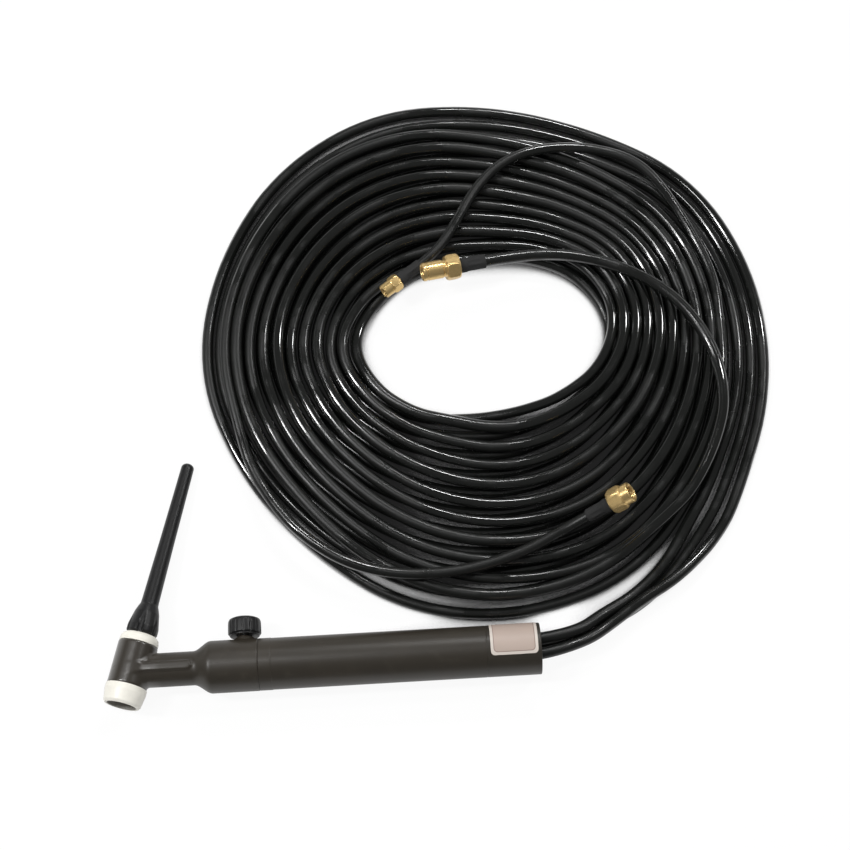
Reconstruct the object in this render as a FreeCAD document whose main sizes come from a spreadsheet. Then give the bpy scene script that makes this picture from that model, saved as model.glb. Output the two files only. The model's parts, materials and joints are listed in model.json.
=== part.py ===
import FreeCAD, Part
import math
import os

import Sketcher
from FreeCAD import Placement, Rotation, Vector

# A water-cooled welding torch: bent head, long back cap, gas valve with its knob,
# tubular handle and three hoses that lie in one loose coil and end in brass nuts.
# Lengths are in millimetres and angles in degrees.
# The torch is drawn about O, where the head's axis meets the handle's. The handle runs along +X,
# the back cap points away along +Y, and the whole torch is rolled until the cap's tip is on the floor.

SIZES = (
    ("edge", 0.5, "small chamfers"),
    ("head_angle", 74.3, "between the back cap's axis and the handle's"),
    ("barrel_radius", 11.6, "moulded barrel of the head"),
    ("barrel_above", 16.6, "barrel's end above the handle's axis, on the cap's side"),
    ("barrel_below", 9.0, "barrel's end below the handle's axis, on the cup's side"),
    ("neck_radius", 9.8, "moulded neck"),
    ("neck_end", 36.2, "where the neck starts to swell into the valve housing"),
    ("rib_width", 5.6, "raised rib along the neck"),
    ("rib_height", 0.9, "how far the rib stands out of the neck"),
    ("rib_end", 33.0, "rear end of the rib"),
    ("housing_radius", 15.1, "valve housing, the moulding's thick rear part"),
    ("swell_curve", 9.0, "radius of the swell's two curves"),
    ("housing_start", 46.8, "front of the housing's full thickness"),
    ("housing_end", 74.0, "rear shoulder of the housing, where the handle starts"),
    ("spigot_wall", 0.9, "wall of the collar that the handle slides over"),
    ("housing_floor", 53.0, "front wall of that hollow"),
    ("knob_boss_radius", 5.6, "boss on the housing round the valve's tower"),
    ("knob_boss_start", 12.0, "the boss's lower end, inside the housing's wall"),
    ("knob_boss_top", 16.2, "its upper end, from the handle's axis"),
    ("spigot_length", 14.0, "collar that the handle slides over"),
    ("core_radius", 8.0, "brass core inside the barrel"),
    ("core_nose", 15.0, "core's end below the handle's axis"),
    ("core_top", 20.6, "core's end above the handle's axis"),
    ("collet_thread_radius", 4.35, "threaded hole for the collet body"),
    ("collet_thread_length", 13.0, "depth of that thread"),
    ("thread_runout", 1.5, "room past the end of the cap's stub"),
    ("core_passage_radius", 3.0, "gas passage between the two threads"),
    ("cap_thread_radius", 5.4, "back cap's threaded stub"),
    ("cap_thread_length", 9.0, "length of the stub"),
    ("cap_thread_pitch", 1.27, "travel of the cap in one turn"),
    ("thread_clearance", 0.12, "radial room between a stub and its hole"),
    ("cup_ring_radius", 12.0, "white ring that the cup seats on, at its upper edge"),
    ("cup_ring_end_radius", 11.0, "the same ring at its lower edge"),
    ("cup_ring_length", 11.2, "length of that ring below the barrel"),
    ("cup_ring_band", 3.4, "straight part of that ring below the barrel"),
    ("cup_ring_bore", 8.6, "open mouth of the ring"),
    ("cap_ring_radius", 11.4, "white ring under the back cap"),
    ("cap_ring_top_radius", 9.4, "the same ring at its rounded upper edge"),
    ("cap_ring_length", 5.4, "thickness of that ring above the barrel"),
    ("cap_ring_curve", 5.5, "radius of that rounding"),
    ("cap_gap", 0.4, "between the white ring and the back cap's rim"),
    ("cap_rim_radius", 9.1, "fluted rim of the back cap"),
    ("cap_rim_length", 5.0, "straight part of the rim"),
    ("cap_shoulder_length", 13.2, "from the rim's face to the shoulder's end"),
    ("cap_shoulder_radius", 7.3, "the shoulder's end, where the steeper taper starts"),
    ("cap_taper_length", 18.8, "from the rim's face to the slim tube"),
    ("cap_tube_radius", 5.15, "slim tube where the taper ends"),
    ("cap_tip_radius", 3.8, "slim tube at its tip"),
    ("cap_length", 107.7, "whole cap above its rim's face"),
    ("cap_bore_radius", 2.2, "bore for the electrode's tail"),
    ("cap_end_wall", 5.0, "closed end of the bore"),
    ("cap_flute_radius", 1.9, "grip flutes in the rim"),
    ("ring_section_radius", 0.8, "rubber rings' own thickness, as a radius"),
    ("ring_seat_extra", 0.6, "how much deeper than a rubber ring its seat is"),
    ("ring_cover", 0.3, "collar between the cap's rubber ring and its rim"),
    ("ring_groove_depth", 1.2, "how deep a rubber ring's groove is cut"),
    ("ring_room", 0.05, "room between a rubber ring and its groove's floor"),
    ("tube_circle_radius", 5.3, "circle on which the three metal tubes lie"),
    ("tube_radius", 2.0, "gas and water tubes"),
    ("tube_wall", 0.7, "wall of the three tubes"),
    ("tube_seat", 2.0, "how far a tube reaches into the valve block"),
    ("core_wall", 0.9, "metal left between a tube's seat and the cap's thread"),
    ("power_tube_radius", 2.8, "power tube"),
    ("barb_length", 16.0, "hose barbs"),
    ("barb_wall", 0.8, "wall of the barbs and the end nipples"),
    ("barb_radius_less", 1.5, "how much thinner a barb is than its hose, as a radius"),
    ("barb_start", 92.0, "where the barbs start along the handle"),
    ("collar_length", 5.0, "collar of a barb, in front of the hose"),
    ("ferrule_gap", 0.2, "between a ferrule and the collar next to it"),
    ("ferrule_wall", 0.7, "wall of the crimped ferrules"),
    ("ferrule_length", 13.0, "length of the ferrules"),
    ("block_length", 11.0, "gas valve's brass block along the handle"),
    ("block_height", 9.6, "the same block from floor to top"),
    ("block_bottom", 2.4, "its inner face, from the handle's axis"),
    ("block_room", 2.4, "from its outer face to the housing's hollow"),
    ("valve_place", 66.0, "valve's axis along the handle"),
    ("valve_tower_radius", 4.4, "round tower on the block that carries the stem"),
    ("valve_tower_top", 16.6, "top of the tower, from the handle's axis"),
    ("stem_radius", 1.9, "valve stem"),
    ("stem_seal_depth", 1.9, "from the tower's top to its rubber ring"),
    ("stem_clearance", 0.05, "radial room round the stem"),
    ("stem_cone", 2.6, "tapered tip of the stem"),
    ("stem_point", 0.4, "radius left at that tip"),
    ("bore_below_stem", 1.4, "room below the stem's tip"),
    ("stem_tip", 6.2, "stem's tip when shut, from the handle's axis"),
    ("knob_radius", 9.6, "valve knob"),
    ("knob_bottom", 17.0, "knob's lower face when shut, from the handle's axis"),
    ("knob_height", 11.7, "knob from its lower face to its crown"),
    ("knob_crown", 1.1, "how far the knob's crown is domed"),
    ("knob_waist_radius", 8.6, "undercut below the knob's grip"),
    ("knob_waist_height", 1.2, "height of the undercut"),
    ("knob_flute_radius", 1.3, "grip flutes of the knob"),
    ("knob_shoulder", 2.4, "width of the rounding between the grip and the crown"),
    ("knob_shoulder_radius", 3.4, "radius of that rounding"),
    ("knob_taper", 0.2, "how much the grip narrows toward the crown"),
    ("knob_socket_depth", 6.5, "stem's seat inside the knob"),
    ("handle_radius", 15.0, "handle"),
    ("handle_wall", 2.9, "wall of the handle"),
    ("handle_gap", 0.05, "between the housing's shoulder and the handle"),
    ("handle_end", 236.0, "rear end of the handle"),
    ("handle_band", 7.0, "smooth band at the handle's front"),
    ("handle_band_depth", 0.15, "step of that band"),
    ("label_length", 27.2, "bare label, along the handle"),
    ("label_inset", 2.0, "label's rear edge from the handle's end"),
    ("label_thickness", 0.25, "label"),
    ("label_start", 88.0, "where the label starts round the handle"),
    ("label_turn", 116.0, "how far the label wraps round the handle"),
    ("power_hose_radius", 3.6, "hose that carries power and returning water"),
    ("water_hose_radius", 3.3, "water hose"),
    ("gas_hose_radius", 3.1, "gas hose"),
    ("coil_centre_x", 213.0, "coil's middle from O"),
    ("coil_centre_y", 187.0, "coil's middle from O"),
    ("coil_outer_x", 169.0, "outermost turn, half its width"),
    ("coil_outer_y", 168.0, "outermost turn, half its depth"),
    ("coil_outer_shift", -7.0, "how far the outermost turn lies behind the middle"),
    ("coil_inner_x", 79.0, "innermost turn, half its width"),
    ("coil_inner_y", 52.0, "innermost turn, half its depth"),
    ("coil_inner_shift", 4.0, "how far the innermost turn lies behind the middle"),
    ("coil_start", -35.0, "direction, seen from the middle, where the hoses join the coil"),
    ("coil_steps", 12.0, "strands from the outermost turn to the innermost"),
    ("coil_upper_x", 167.0, "outermost turn of the upper layer, half its width"),
    ("coil_upper_y", 166.0, "outermost turn of the upper layer, half its depth"),
    ("coil_upper_shift", -5.0, "how far that turn lies behind the middle"),
    ("layer_gap", 0.5, "room between the two layers"),
    ("nipple_collar", 2.4, "collar of an end nipple, against its hose"),
    ("nipple_neck_less", 0.4, "how much thinner a nipple's neck is than its hose, as a radius"),
    ("nipple_head_length", 1.8, "flange that keeps the nut on its nipple"),
    ("nipple_cone_length", 1.2, "sealing end in front of that flange"),
    ("nut_start", 3.4, "nut's rear face from the end of its hose"),
    ("nut_wall", 2.6, "rear wall of a nut"),
    ("nut_play", 0.12, "radial room between a nut's rear wall and the neck"),
    ("head_play", 0.35, "room round a nipple's flange, inside its nut"),
    ("thread_relief", 0.4, "how much wider than its thread a nut is round the flange"),
    ("power_nut_radius", 8.2, "power nut over its hexagon's corners"),
    ("power_nut_hexagon", 8.4, "length of that hexagon"),
    ("power_nut_barrel", 5.6, "radius of the nut's round barrel"),
    ("power_nut_length", 23.0, "whole nut"),
    ("power_nut_thread", 4.3, "its threaded hole"),
    ("water_nut_radius", 7.6, "water nut over its hexagon's corners"),
    ("water_nut_hexagon", 9.0, "length of that hexagon"),
    ("water_nut_barrel", 6.2, "radius of its rim"),
    ("water_nut_length", 14.0, "whole nut"),
    ("water_nut_thread", 4.6, "its threaded hole"),
    ("gas_nut_radius", 5.4, "gas nut over its hexagon's corners"),
    ("gas_nut_hexagon", 6.0, "length of that hexagon"),
    ("gas_nut_barrel", 4.3, "radius of its rim"),
    ("gas_nut_length", 12.0, "whole nut"),
    ("gas_nut_thread", 3.3, "its threaded hole"),
)

doc = FreeCAD.newDocument("torch")
sheet = doc.addObject("Spreadsheet::Sheet", "Sizes")
for line, (alias, value, note) in enumerate(SIZES, start=1):
    sheet.set("A%d" % line, note)
    sheet.set("B%d" % line, str(value))
    sheet.setAlias("B%d" % line, alias)
doc.recompute()


class Size:
    """A length that knows its value and the spreadsheet expression that drives it."""

    def __init__(self, value, text):
        self.value = value
        self.text = text

    def __float__(self):
        return float(self.value)

    def __neg__(self):
        return Size(-self.value, "(0 - %s)" % self.text)

    def __add__(self, other):
        other = as_size(other)
        return Size(self.value + other.value, "(%s + %s)" % (self.text, other.text))

    def __sub__(self, other):
        other = as_size(other)
        return Size(self.value - other.value, "(%s - %s)" % (self.text, other.text))

    def __rsub__(self, other):
        return as_size(other) - self

    def __mul__(self, other):
        other = as_size(other)
        return Size(self.value * other.value, "(%s * %s)" % (self.text, other.text))

    def __truediv__(self, other):
        other = as_size(other)
        return Size(self.value / other.value, "(%s / %s)" % (self.text, other.text))

    __radd__ = __add__
    __rmul__ = __mul__


def as_size(value):
    return value if isinstance(value, Size) else Size(float(value), "%g" % value)


class Sheet:
    """Reads the sizes by name, as in S.handle_radius."""

    def __getattr__(self, alias):
        return Size(float(sheet.get(alias)), "Sizes." + alias)


S = Sheet()


# Sketches, turned bodies and cut-outs

def new_body(label):
    body = doc.addObject("PartDesign::Body", label)
    body.Label = label
    return body


def new_sketch(body, name, plane):
    sketch = body.newObject("Sketcher::SketchObject", name)
    origin = [part for part in body.Origin.OriginFeatures if part.Role == plane][0]
    sketch.AttachmentSupport = (origin, "")
    sketch.MapMode = "FlatFace"
    return sketch


def hold(sketch, geometry, end, across, up):
    """Fix one end of a line or arc by its two distances from the sketch's origin."""
    for kind, axis, distance in (("DistanceX", -2, across), ("DistanceY", -1, up)):
        distance = as_size(distance)
        if distance.value == 0.0 and "Sizes" not in distance.text:
            sketch.addConstraint(Sketcher.Constraint("PointOnObject", geometry, end, axis))
            continue
        index = sketch.addConstraint(Sketcher.Constraint(kind, -1, 1, geometry, end, distance.value))
        sketch.setExpression("Constraints[%d]" % index, distance.text)


def draw_outline(sketch, corners):
    """Closed outline. A corner is (across, up), or (across, up, radius) where an arc leads to it.

    A positive radius bulges to the right of the way that the outline runs, a negative one to the left.
    """
    points = [Vector(float(corner[0]), float(corner[1]), 0) for corner in corners]
    ends = []
    for index, corner in enumerate(corners):
        start, end = points[index - 1], points[index]
        if len(corner) == 2:
            sketch.addGeometry(Part.LineSegment(start, end), False)
            ends.append((1, 2))
            continue
        radius = abs(float(corner[2]))
        chord = end - start
        to_left = Vector(-chord.y, chord.x, 0).normalize()
        side = 1.0 if float(corner[2]) > 0 else -1.0
        reach = math.sqrt(radius ** 2 - (chord.Length / 2) ** 2)
        centre = start + chord * 0.5 + to_left * (side * reach)
        first, last = (start, end) if side > 0 else (end, start)
        angles = [math.atan2(point.y - centre.y, point.x - centre.x) for point in (first, last)]
        circle = Part.Circle(centre, Vector(0, 0, 1), radius)
        sketch.addGeometry(Part.ArcOfCircle(circle, angles[0], angles[1]), False)
        ends.append((1, 2) if side > 0 else (2, 1))
    for index, corner in enumerate(corners):
        following = (index + 1) % len(corners)
        sketch.addConstraint(Sketcher.Constraint(
            "Coincident", index, ends[index][1], following, ends[following][0]))
        hold(sketch, index, ends[index][1], corner[0], corner[1])
        if len(corner) == 3:
            radius = as_size(corner[2])
            if radius.value < 0:
                radius = -radius
            bound = sketch.addConstraint(Sketcher.Constraint("Radius", index, radius.value))
            sketch.setExpression("Constraints[%d]" % bound, radius.text)


def turn_about_z(body, name, corners, kind="PartDesign::Revolution"):
    """Revolve an outline of (radius, height) corners about the body's own Z axis."""
    sketch = new_sketch(body, name + "Outline", "XZ_Plane")
    draw_outline(sketch, corners)
    feature = body.newObject(kind, name)
    feature.Profile = sketch
    feature.ReferenceAxis = (sketch, ["V_Axis"])
    feature.Angle = 360.0
    doc.recompute()
    return feature


def turned(label, corners):
    body = new_body(label)
    turn_about_z(body, "Turned", corners)
    return body


def fluted(body, name, circle_radius, flute_radius, bottom, length, count):
    """Cut a ring of round flutes, from the height bottom upwards."""
    sketch = new_sketch(body, name + "Outline", "XY_Plane")
    sketch.setExpression("AttachmentOffset.Base.z", as_size(bottom).text)
    sketch.addGeometry(Part.Circle(Vector(float(circle_radius), 0, 0), Vector(0, 0, 1),
                                   float(flute_radius)), False)
    hold(sketch, 0, 3, circle_radius, 0)
    bound = sketch.addConstraint(Sketcher.Constraint("Radius", 0, float(flute_radius)))
    sketch.setExpression("Constraints[%d]" % bound, as_size(flute_radius).text)
    pocket = body.newObject("PartDesign::Pocket", name)
    pocket.Profile = sketch
    pocket.Reversed = True
    pocket.setExpression("Length", as_size(length).text)
    doc.recompute()
    pattern = body.newObject("PartDesign::PolarPattern", name + "Round")
    pattern.Originals = [pocket]
    pattern.Axis = (sketch, ["N_Axis"])
    pattern.Angle = 360.0
    pattern.Occurrences = count
    body.Tip = pattern
    doc.recompute()
    return pattern


def cylinder(label, radius, length, place=Placement()):
    """Part::Cylinder from its own origin along its own Z axis."""
    solid = doc.addObject("Part::Cylinder", label)
    solid.setExpression("Radius", as_size(radius).text)
    solid.setExpression("Height", as_size(length).text)
    solid.Placement = place
    return solid


def cut(label, base, tools):
    """Part::Cut of a base by one or several tools."""
    tool = tools[0]
    if len(tools) > 1:
        tool = doc.addObject("Part::MultiFuse", label + "_tools")
        tool.Shapes = tools
    result = doc.addObject("Part::Cut", label)
    result.Base = base
    result.Tool = tool
    result.Label = label
    return result


def fuse(label, shapes):
    result = doc.addObject("Part::MultiFuse", label)
    result.Shapes = shapes
    result.Refine = True
    result.Label = label
    return result


# Axes and places

def toward(way, point=Vector()):
    """Placement whose Z axis points along way and whose origin is at point."""
    return Placement(point, Rotation(Vector(0, 0, 1), way))


ALONG = Vector(1, 0, 0)
AWAY = Vector(0, 1, 0)
UP = Vector(0, 0, 1)
head_turn = math.radians(float(S.head_angle))
CAP_WAY = Vector(math.cos(head_turn), math.sin(head_turn), 0)


def on_head(height):
    """Place on the head's axis, height above the handle's axis, with Z toward the cap."""
    return toward(CAP_WAY, CAP_WAY * float(height))


def on_handle(distance, y=0.0, z=0.0):
    """Place beside the handle's axis, with Z toward the rear."""
    return toward(ALONG, Vector(float(distance), y, z))


cap_face = S.barrel_above + S.cap_ring_length + S.cap_gap
cap_tip_reach = (float(cap_face) + float(S.cap_length)) * math.sin(head_turn)
AXIS_HEIGHT = float(S.housing_radius)
ROLL = -math.degrees(math.asin((AXIS_HEIGHT - float(S.cap_tip_radius)) / cap_tip_reach))
FLOOR = Placement(Vector(0, 0, AXIS_HEIGHT), Rotation(ALONG, ROLL))

nodes = []
on_hoses = []


def keep(item, place=Placement()):
    """Place a finished sub-part of the torch and list it for writing."""
    item.Placement = FLOOR.multiply(place)
    nodes.append(item)
    return item


# Where the three tubes and hoses run inside the handle

def on_circle(turn):
    """Point (y, z) on the tubes' circle, turn degrees from +Y toward +Z."""
    angle = math.radians(turn)
    return (float(S.tube_circle_radius) * math.cos(angle), float(S.tube_circle_radius) * math.sin(angle))


GAS_TURN = 30.0
POWER_TURN = 150.0
WATER_TURN = 270.0


# Head: brass core, two white rings, back cap and its rubber ring

def make_core():
    seat_depth = 2 * S.ring_section_radius + S.ring_seat_extra
    thread_end = S.core_top - S.cap_thread_length - S.thread_runout
    seat_radius = S.cap_thread_radius - S.ring_groove_depth + 2 * S.ring_section_radius + 2 * S.ring_room
    body = new_body("head_core_blank")
    turn_about_z(body, "Turned", (
        (S.collet_thread_radius, -S.core_nose),
        (S.core_radius, -S.core_nose),
        (S.core_radius, S.core_top),
        (seat_radius, S.core_top),
        (seat_radius, S.core_top - seat_depth),
        (S.cap_thread_radius + S.thread_clearance, S.core_top - seat_depth),
        (S.cap_thread_radius + S.thread_clearance, thread_end),
        (S.core_passage_radius, thread_end),
        (S.core_passage_radius, S.collet_thread_length - S.core_nose),
        (S.collet_thread_radius, S.collet_thread_length - S.core_nose),
    ))
    sockets = []
    for name, turn, radius in (("gas", GAS_TURN, S.tube_radius), ("power", POWER_TURN, S.power_tube_radius),
                               ("water", WATER_TURN, S.tube_radius)):
        y, z = on_circle(turn)
        local = on_head(0).inverse().multiply(on_handle(core_socket(turn), y, z))
        sockets.append(cylinder("core_socket_" + name, radius, 2 * S.core_radius, local))
    return keep(cut("head_core", body, sockets), on_head(0))


def core_socket(turn):
    """Distance along the handle at which a tube ends inside the core's wall."""
    y, z = on_circle(turn)
    inner = float(S.cap_thread_radius + S.core_wall)
    across = math.sqrt(max(inner ** 2 - z ** 2, 0.0))
    return (across + y * math.cos(head_turn)) / math.sin(head_turn)


def make_cup_ring():
    lower = -S.barrel_below - S.cup_ring_length
    body = turned("cup_ring", (
        (S.core_radius, -S.barrel_below),
        (S.core_radius, S.edge - S.core_nose),
        (S.cup_ring_bore, S.edge - S.core_nose),
        (S.cup_ring_bore, lower),
        (S.cup_ring_end_radius - 2 * S.edge, lower),
        (S.cup_ring_end_radius, lower + 2 * S.edge),
        (S.cup_ring_radius, -S.barrel_below - S.cup_ring_band),
        (S.cup_ring_radius, -S.barrel_below),
    ))
    return keep(body, on_head(0))


def make_cap_ring():
    top = S.barrel_above + S.cap_ring_length
    body = turned("cap_ring", (
        (S.core_radius, S.barrel_above),
        (S.cap_ring_radius - S.edge, S.barrel_above),
        (S.cap_ring_radius, S.barrel_above + S.edge),
        (S.cap_ring_radius, S.barrel_above + 3 * S.edge),
        (S.cap_ring_top_radius, top, S.cap_ring_curve),
        (S.core_radius, top),
    ))
    return keep(body, on_head(0))


TIP_FLAT = 0.35
FLUTE_OUT = 0.4
CAP_FLUTES = 6
KNOB_FLUTES = 14


def make_back_cap():
    tip_flat = S.cap_tip_radius * TIP_FLAT
    tube_end = S.cap_length - S.cap_tip_radius * math.sqrt(1 - (1 - TIP_FLAT) ** 2)
    stub_root = S.core_top - cap_face
    groove_top = stub_root - S.ring_cover
    groove_bottom = groove_top - 2 * S.ring_section_radius - 2 * S.ring_room
    groove_radius = S.cap_thread_radius - S.ring_groove_depth
    body = turned("back_cap", (
        (S.cap_bore_radius, stub_root - S.cap_thread_length),
        (S.cap_thread_radius - S.edge, stub_root - S.cap_thread_length),
        (S.cap_thread_radius, stub_root - S.cap_thread_length + S.edge),
        (S.cap_thread_radius, groove_bottom),
        (groove_radius, groove_bottom),
        (groove_radius, groove_top),
        (S.cap_thread_radius, groove_top),
        (S.cap_thread_radius, 0),
        (S.cap_rim_radius - 2 * S.edge, 0),
        (S.cap_rim_radius, 2 * S.edge),
        (S.cap_rim_radius, S.cap_rim_length),
        (S.cap_shoulder_radius, S.cap_shoulder_length),
        (S.cap_tube_radius, S.cap_taper_length),
        (S.cap_tip_radius, tube_end),
        (tip_flat, S.cap_length, S.cap_tip_radius),
        (0, S.cap_length),
        (0, S.cap_length - S.cap_end_wall),
        (S.cap_bore_radius, S.cap_length - S.cap_end_wall),
    ))
    fluted(body, "Flutes", S.cap_rim_radius + S.cap_flute_radius * FLUTE_OUT, S.cap_flute_radius,
           0, S.cap_shoulder_length, CAP_FLUTES)
    return keep(body, on_head(cap_face))


def make_cap_seal():
    stub_root = S.core_top - cap_face
    seal = doc.addObject("Part::Torus", "cap_seal")
    groove = S.cap_thread_radius - S.ring_groove_depth
    seal.setExpression("Radius1", (groove + S.ring_section_radius + S.ring_room).text)
    seal.setExpression("Radius2", S.ring_section_radius.text)
    height = cap_face + stub_root - S.ring_cover - S.ring_room - S.ring_section_radius
    return keep(seal, on_head(height))


# Moulded body: barrel, neck with its rib, valve housing and the collar for the handle

spigot_radius = S.handle_radius - S.handle_wall
housing_bore = spigot_radius - S.spigot_wall


def make_moulding():
    swell_radius = (S.neck_radius + S.housing_radius) * 0.5
    swell_middle = (S.neck_end + S.housing_start) * 0.5
    outline = new_body("moulding_run")
    turn_about_z(outline, "Turned", (
        (0, 0),
        (S.neck_radius, 0),
        (S.neck_radius, S.neck_end),
        (swell_radius, swell_middle, -S.swell_curve),
        (S.housing_radius, S.housing_start, S.swell_curve),
        (S.housing_radius, S.housing_end),
        (spigot_radius, S.housing_end),
        (spigot_radius, S.housing_end + S.spigot_length),
        (housing_bore, S.housing_end + S.spigot_length),
        (housing_bore, S.housing_floor),
        (0, S.housing_floor),
    ))
    outline.Placement = on_handle(0)
    barrel = cylinder("barrel", S.barrel_radius, S.barrel_above + S.barrel_below, on_head(-S.barrel_below))
    rib = doc.addObject("Part::Box", "neck_rib")
    rib.setExpression("Length", S.rib_end.text)
    rib.setExpression("Width", S.rib_width.text)
    rib.setExpression("Height", (S.neck_radius + S.rib_height).text)
    rib.Placement = Placement(Vector(0, -float(S.rib_width) / 2, 0), Rotation())
    rib_end = cylinder("neck_rib_end", S.rib_width * 0.5, S.neck_radius + S.rib_height,
                       toward(UP, Vector(float(S.rib_end), 0, 0)))
    boss = cylinder("knob_boss", S.knob_boss_radius, S.knob_boss_top - S.knob_boss_start,
                    toward(AWAY, Vector(float(S.valve_place), float(S.knob_boss_start), 0)))
    tools = [cylinder("core_hole", S.core_radius, 6 * S.barrel_above, on_head(-3 * S.barrel_above))]
    for name, turn, radius in (("gas", GAS_TURN, S.tube_radius), ("power", POWER_TURN, S.power_tube_radius),
                               ("water", WATER_TURN, S.tube_radius)):
        y, z = on_circle(turn)
        tools.append(cylinder(name + "_tube_hole", radius, S.housing_floor, on_handle(0.5, y, z)))
    tools.append(cylinder("tower_hole", S.valve_tower_radius, 2 * S.housing_radius,
                          toward(AWAY, Vector(float(S.valve_place), 0, 0))))
    blank = fuse("moulding_blank", [outline, barrel, rib, rib_end, boss])
    return keep(cut("moulded_body", blank, tools))


# Gas valve: brass block with its tower, stem, rubber ring and knob

def make_valve():
    place = Vector(float(S.valve_place), 0, 0)
    block = doc.addObject("Part::Box", "valve_block_blank")
    block.setExpression("Length", S.block_length.text)
    block.setExpression("Width", (housing_bore - S.block_room - S.block_bottom).text)
    block.setExpression("Height", S.block_height.text)
    block.Placement = Placement(Vector(float(S.valve_place) - float(S.block_length) / 2,
                                       float(S.block_bottom), -float(S.block_height) / 2), Rotation())
    tower = cylinder("valve_tower", S.valve_tower_radius, S.valve_tower_top - S.block_bottom,
                     toward(AWAY, place + AWAY * float(S.block_bottom)))
    bore_radius = S.stem_radius + S.stem_clearance
    seal_seat = S.stem_radius - S.ring_groove_depth * 0.5 + 2 * S.ring_section_radius + 2 * S.ring_room
    seat_depth = 2 * S.ring_section_radius + S.stem_seal_depth + S.ring_cover
    y, z = on_circle(GAS_TURN)
    front = float(S.valve_place) - float(S.block_length)
    tools = [
        cylinder("stem_bore", bore_radius, S.valve_tower_top,
                 toward(AWAY, place + AWAY * float(S.stem_tip - S.bore_below_stem))),
        cylinder("seal_seat", seal_seat, seat_depth,
                 toward(AWAY, place + AWAY * float(S.valve_tower_top - seat_depth))),
        cylinder("gas_socket_front", S.tube_radius, S.block_length * 0.5 + S.tube_seat, on_handle(front, y, z)),
        cylinder("gas_socket_rear", S.tube_radius, S.block_length,
                 on_handle(float(S.valve_place + S.block_length * 0.5 - S.tube_seat), y, z)),
    ]
    keep(cut("valve_body", fuse("valve_blank", [block, tower]), tools))

    groove = S.stem_radius - S.ring_groove_depth * 0.5
    seal_place = S.valve_tower_top - S.ring_section_radius - S.stem_seal_depth
    stem = turned("valve_stem", (
        (0, S.stem_tip),
        (S.stem_point, S.stem_tip),
        (S.stem_radius, S.stem_tip + S.stem_cone),
        (S.stem_radius, seal_place - S.ring_section_radius - S.ring_room),
        (groove, seal_place - S.ring_section_radius - S.ring_room),
        (groove, seal_place + S.ring_section_radius + S.ring_room),
        (S.stem_radius, seal_place + S.ring_section_radius + S.ring_room),
        (S.stem_radius, S.knob_bottom + S.knob_socket_depth),
        (0, S.knob_bottom + S.knob_socket_depth),
    ))
    keep(stem, toward(AWAY, place))
    seal = doc.addObject("Part::Torus", "stem_seal")
    seal.setExpression("Radius1", (groove + S.ring_section_radius + S.ring_room).text)
    seal.setExpression("Radius2", S.ring_section_radius.text)
    keep(seal, toward(AWAY, place + AWAY * float(seal_place)))

    crown_edge = S.knob_radius - S.knob_shoulder
    crown_radius = (crown_edge * crown_edge + S.knob_crown * S.knob_crown) / (2 * S.knob_crown)
    knob = turned("valve_knob", (
        (S.stem_radius, 0),
        (S.knob_waist_radius, 0),
        (S.knob_waist_radius, S.knob_waist_height - S.edge),
        (S.knob_radius - S.edge, S.knob_waist_height),
        (S.knob_radius, S.knob_waist_height + S.edge),
        (S.knob_radius - S.knob_taper, S.knob_height - S.knob_shoulder_radius),
        (crown_edge, S.knob_height - S.knob_crown, S.knob_shoulder_radius),
        (0, S.knob_height, crown_radius),
        (0, S.knob_socket_depth),
        (S.stem_radius, S.knob_socket_depth),
    ))
    fluted(knob, "Grips", S.knob_radius + S.knob_flute_radius * FLUTE_OUT, S.knob_flute_radius,
           S.knob_waist_height - S.edge, S.knob_height, KNOB_FLUTES)
    return keep(knob, toward(AWAY, place + AWAY * float(S.knob_bottom)))


# Handle and its bare label

def make_handle():
    start, end = S.housing_end + S.handle_gap, S.handle_end
    body = turned("handle_tube", (
        (S.handle_radius - S.handle_wall, start),
        (S.handle_radius - S.edge, start),
        (S.handle_radius, start + S.edge),
        (S.handle_radius, start + S.handle_band - S.edge),
        (S.handle_radius - S.handle_band_depth, start + S.handle_band),
        (S.handle_radius - S.handle_band_depth, end - S.edge),
        (S.handle_radius - S.handle_band_depth - S.edge, end),
        (S.handle_radius - S.handle_wall, end),
    ))
    return keep(body, on_handle(0))


def make_label():
    """A thin sheet wrapped on the handle, high on the side that the cap points to."""
    inner = S.handle_radius - S.handle_band_depth
    body = new_body("handle_label")
    sketch = new_sketch(body, "Outline", "XZ_Plane")
    rear = S.handle_end - S.label_inset
    draw_outline(sketch, (
        (inner, rear - S.label_length),
        (inner + S.label_thickness, rear - S.label_length),
        (inner + S.label_thickness, rear),
        (inner, rear),
    ))
    feature = body.newObject("PartDesign::Revolution", "Wrapped")
    feature.Profile = sketch
    feature.ReferenceAxis = (sketch, ["V_Axis"])
    feature.setExpression("Angle", S.label_turn.text)
    doc.recompute()
    spin = Rotation(UP, float(S.label_start))
    return keep(body, on_handle(0).multiply(Placement(Vector(), spin)))


# Tubes, barbs and ferrules inside the handle

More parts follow.
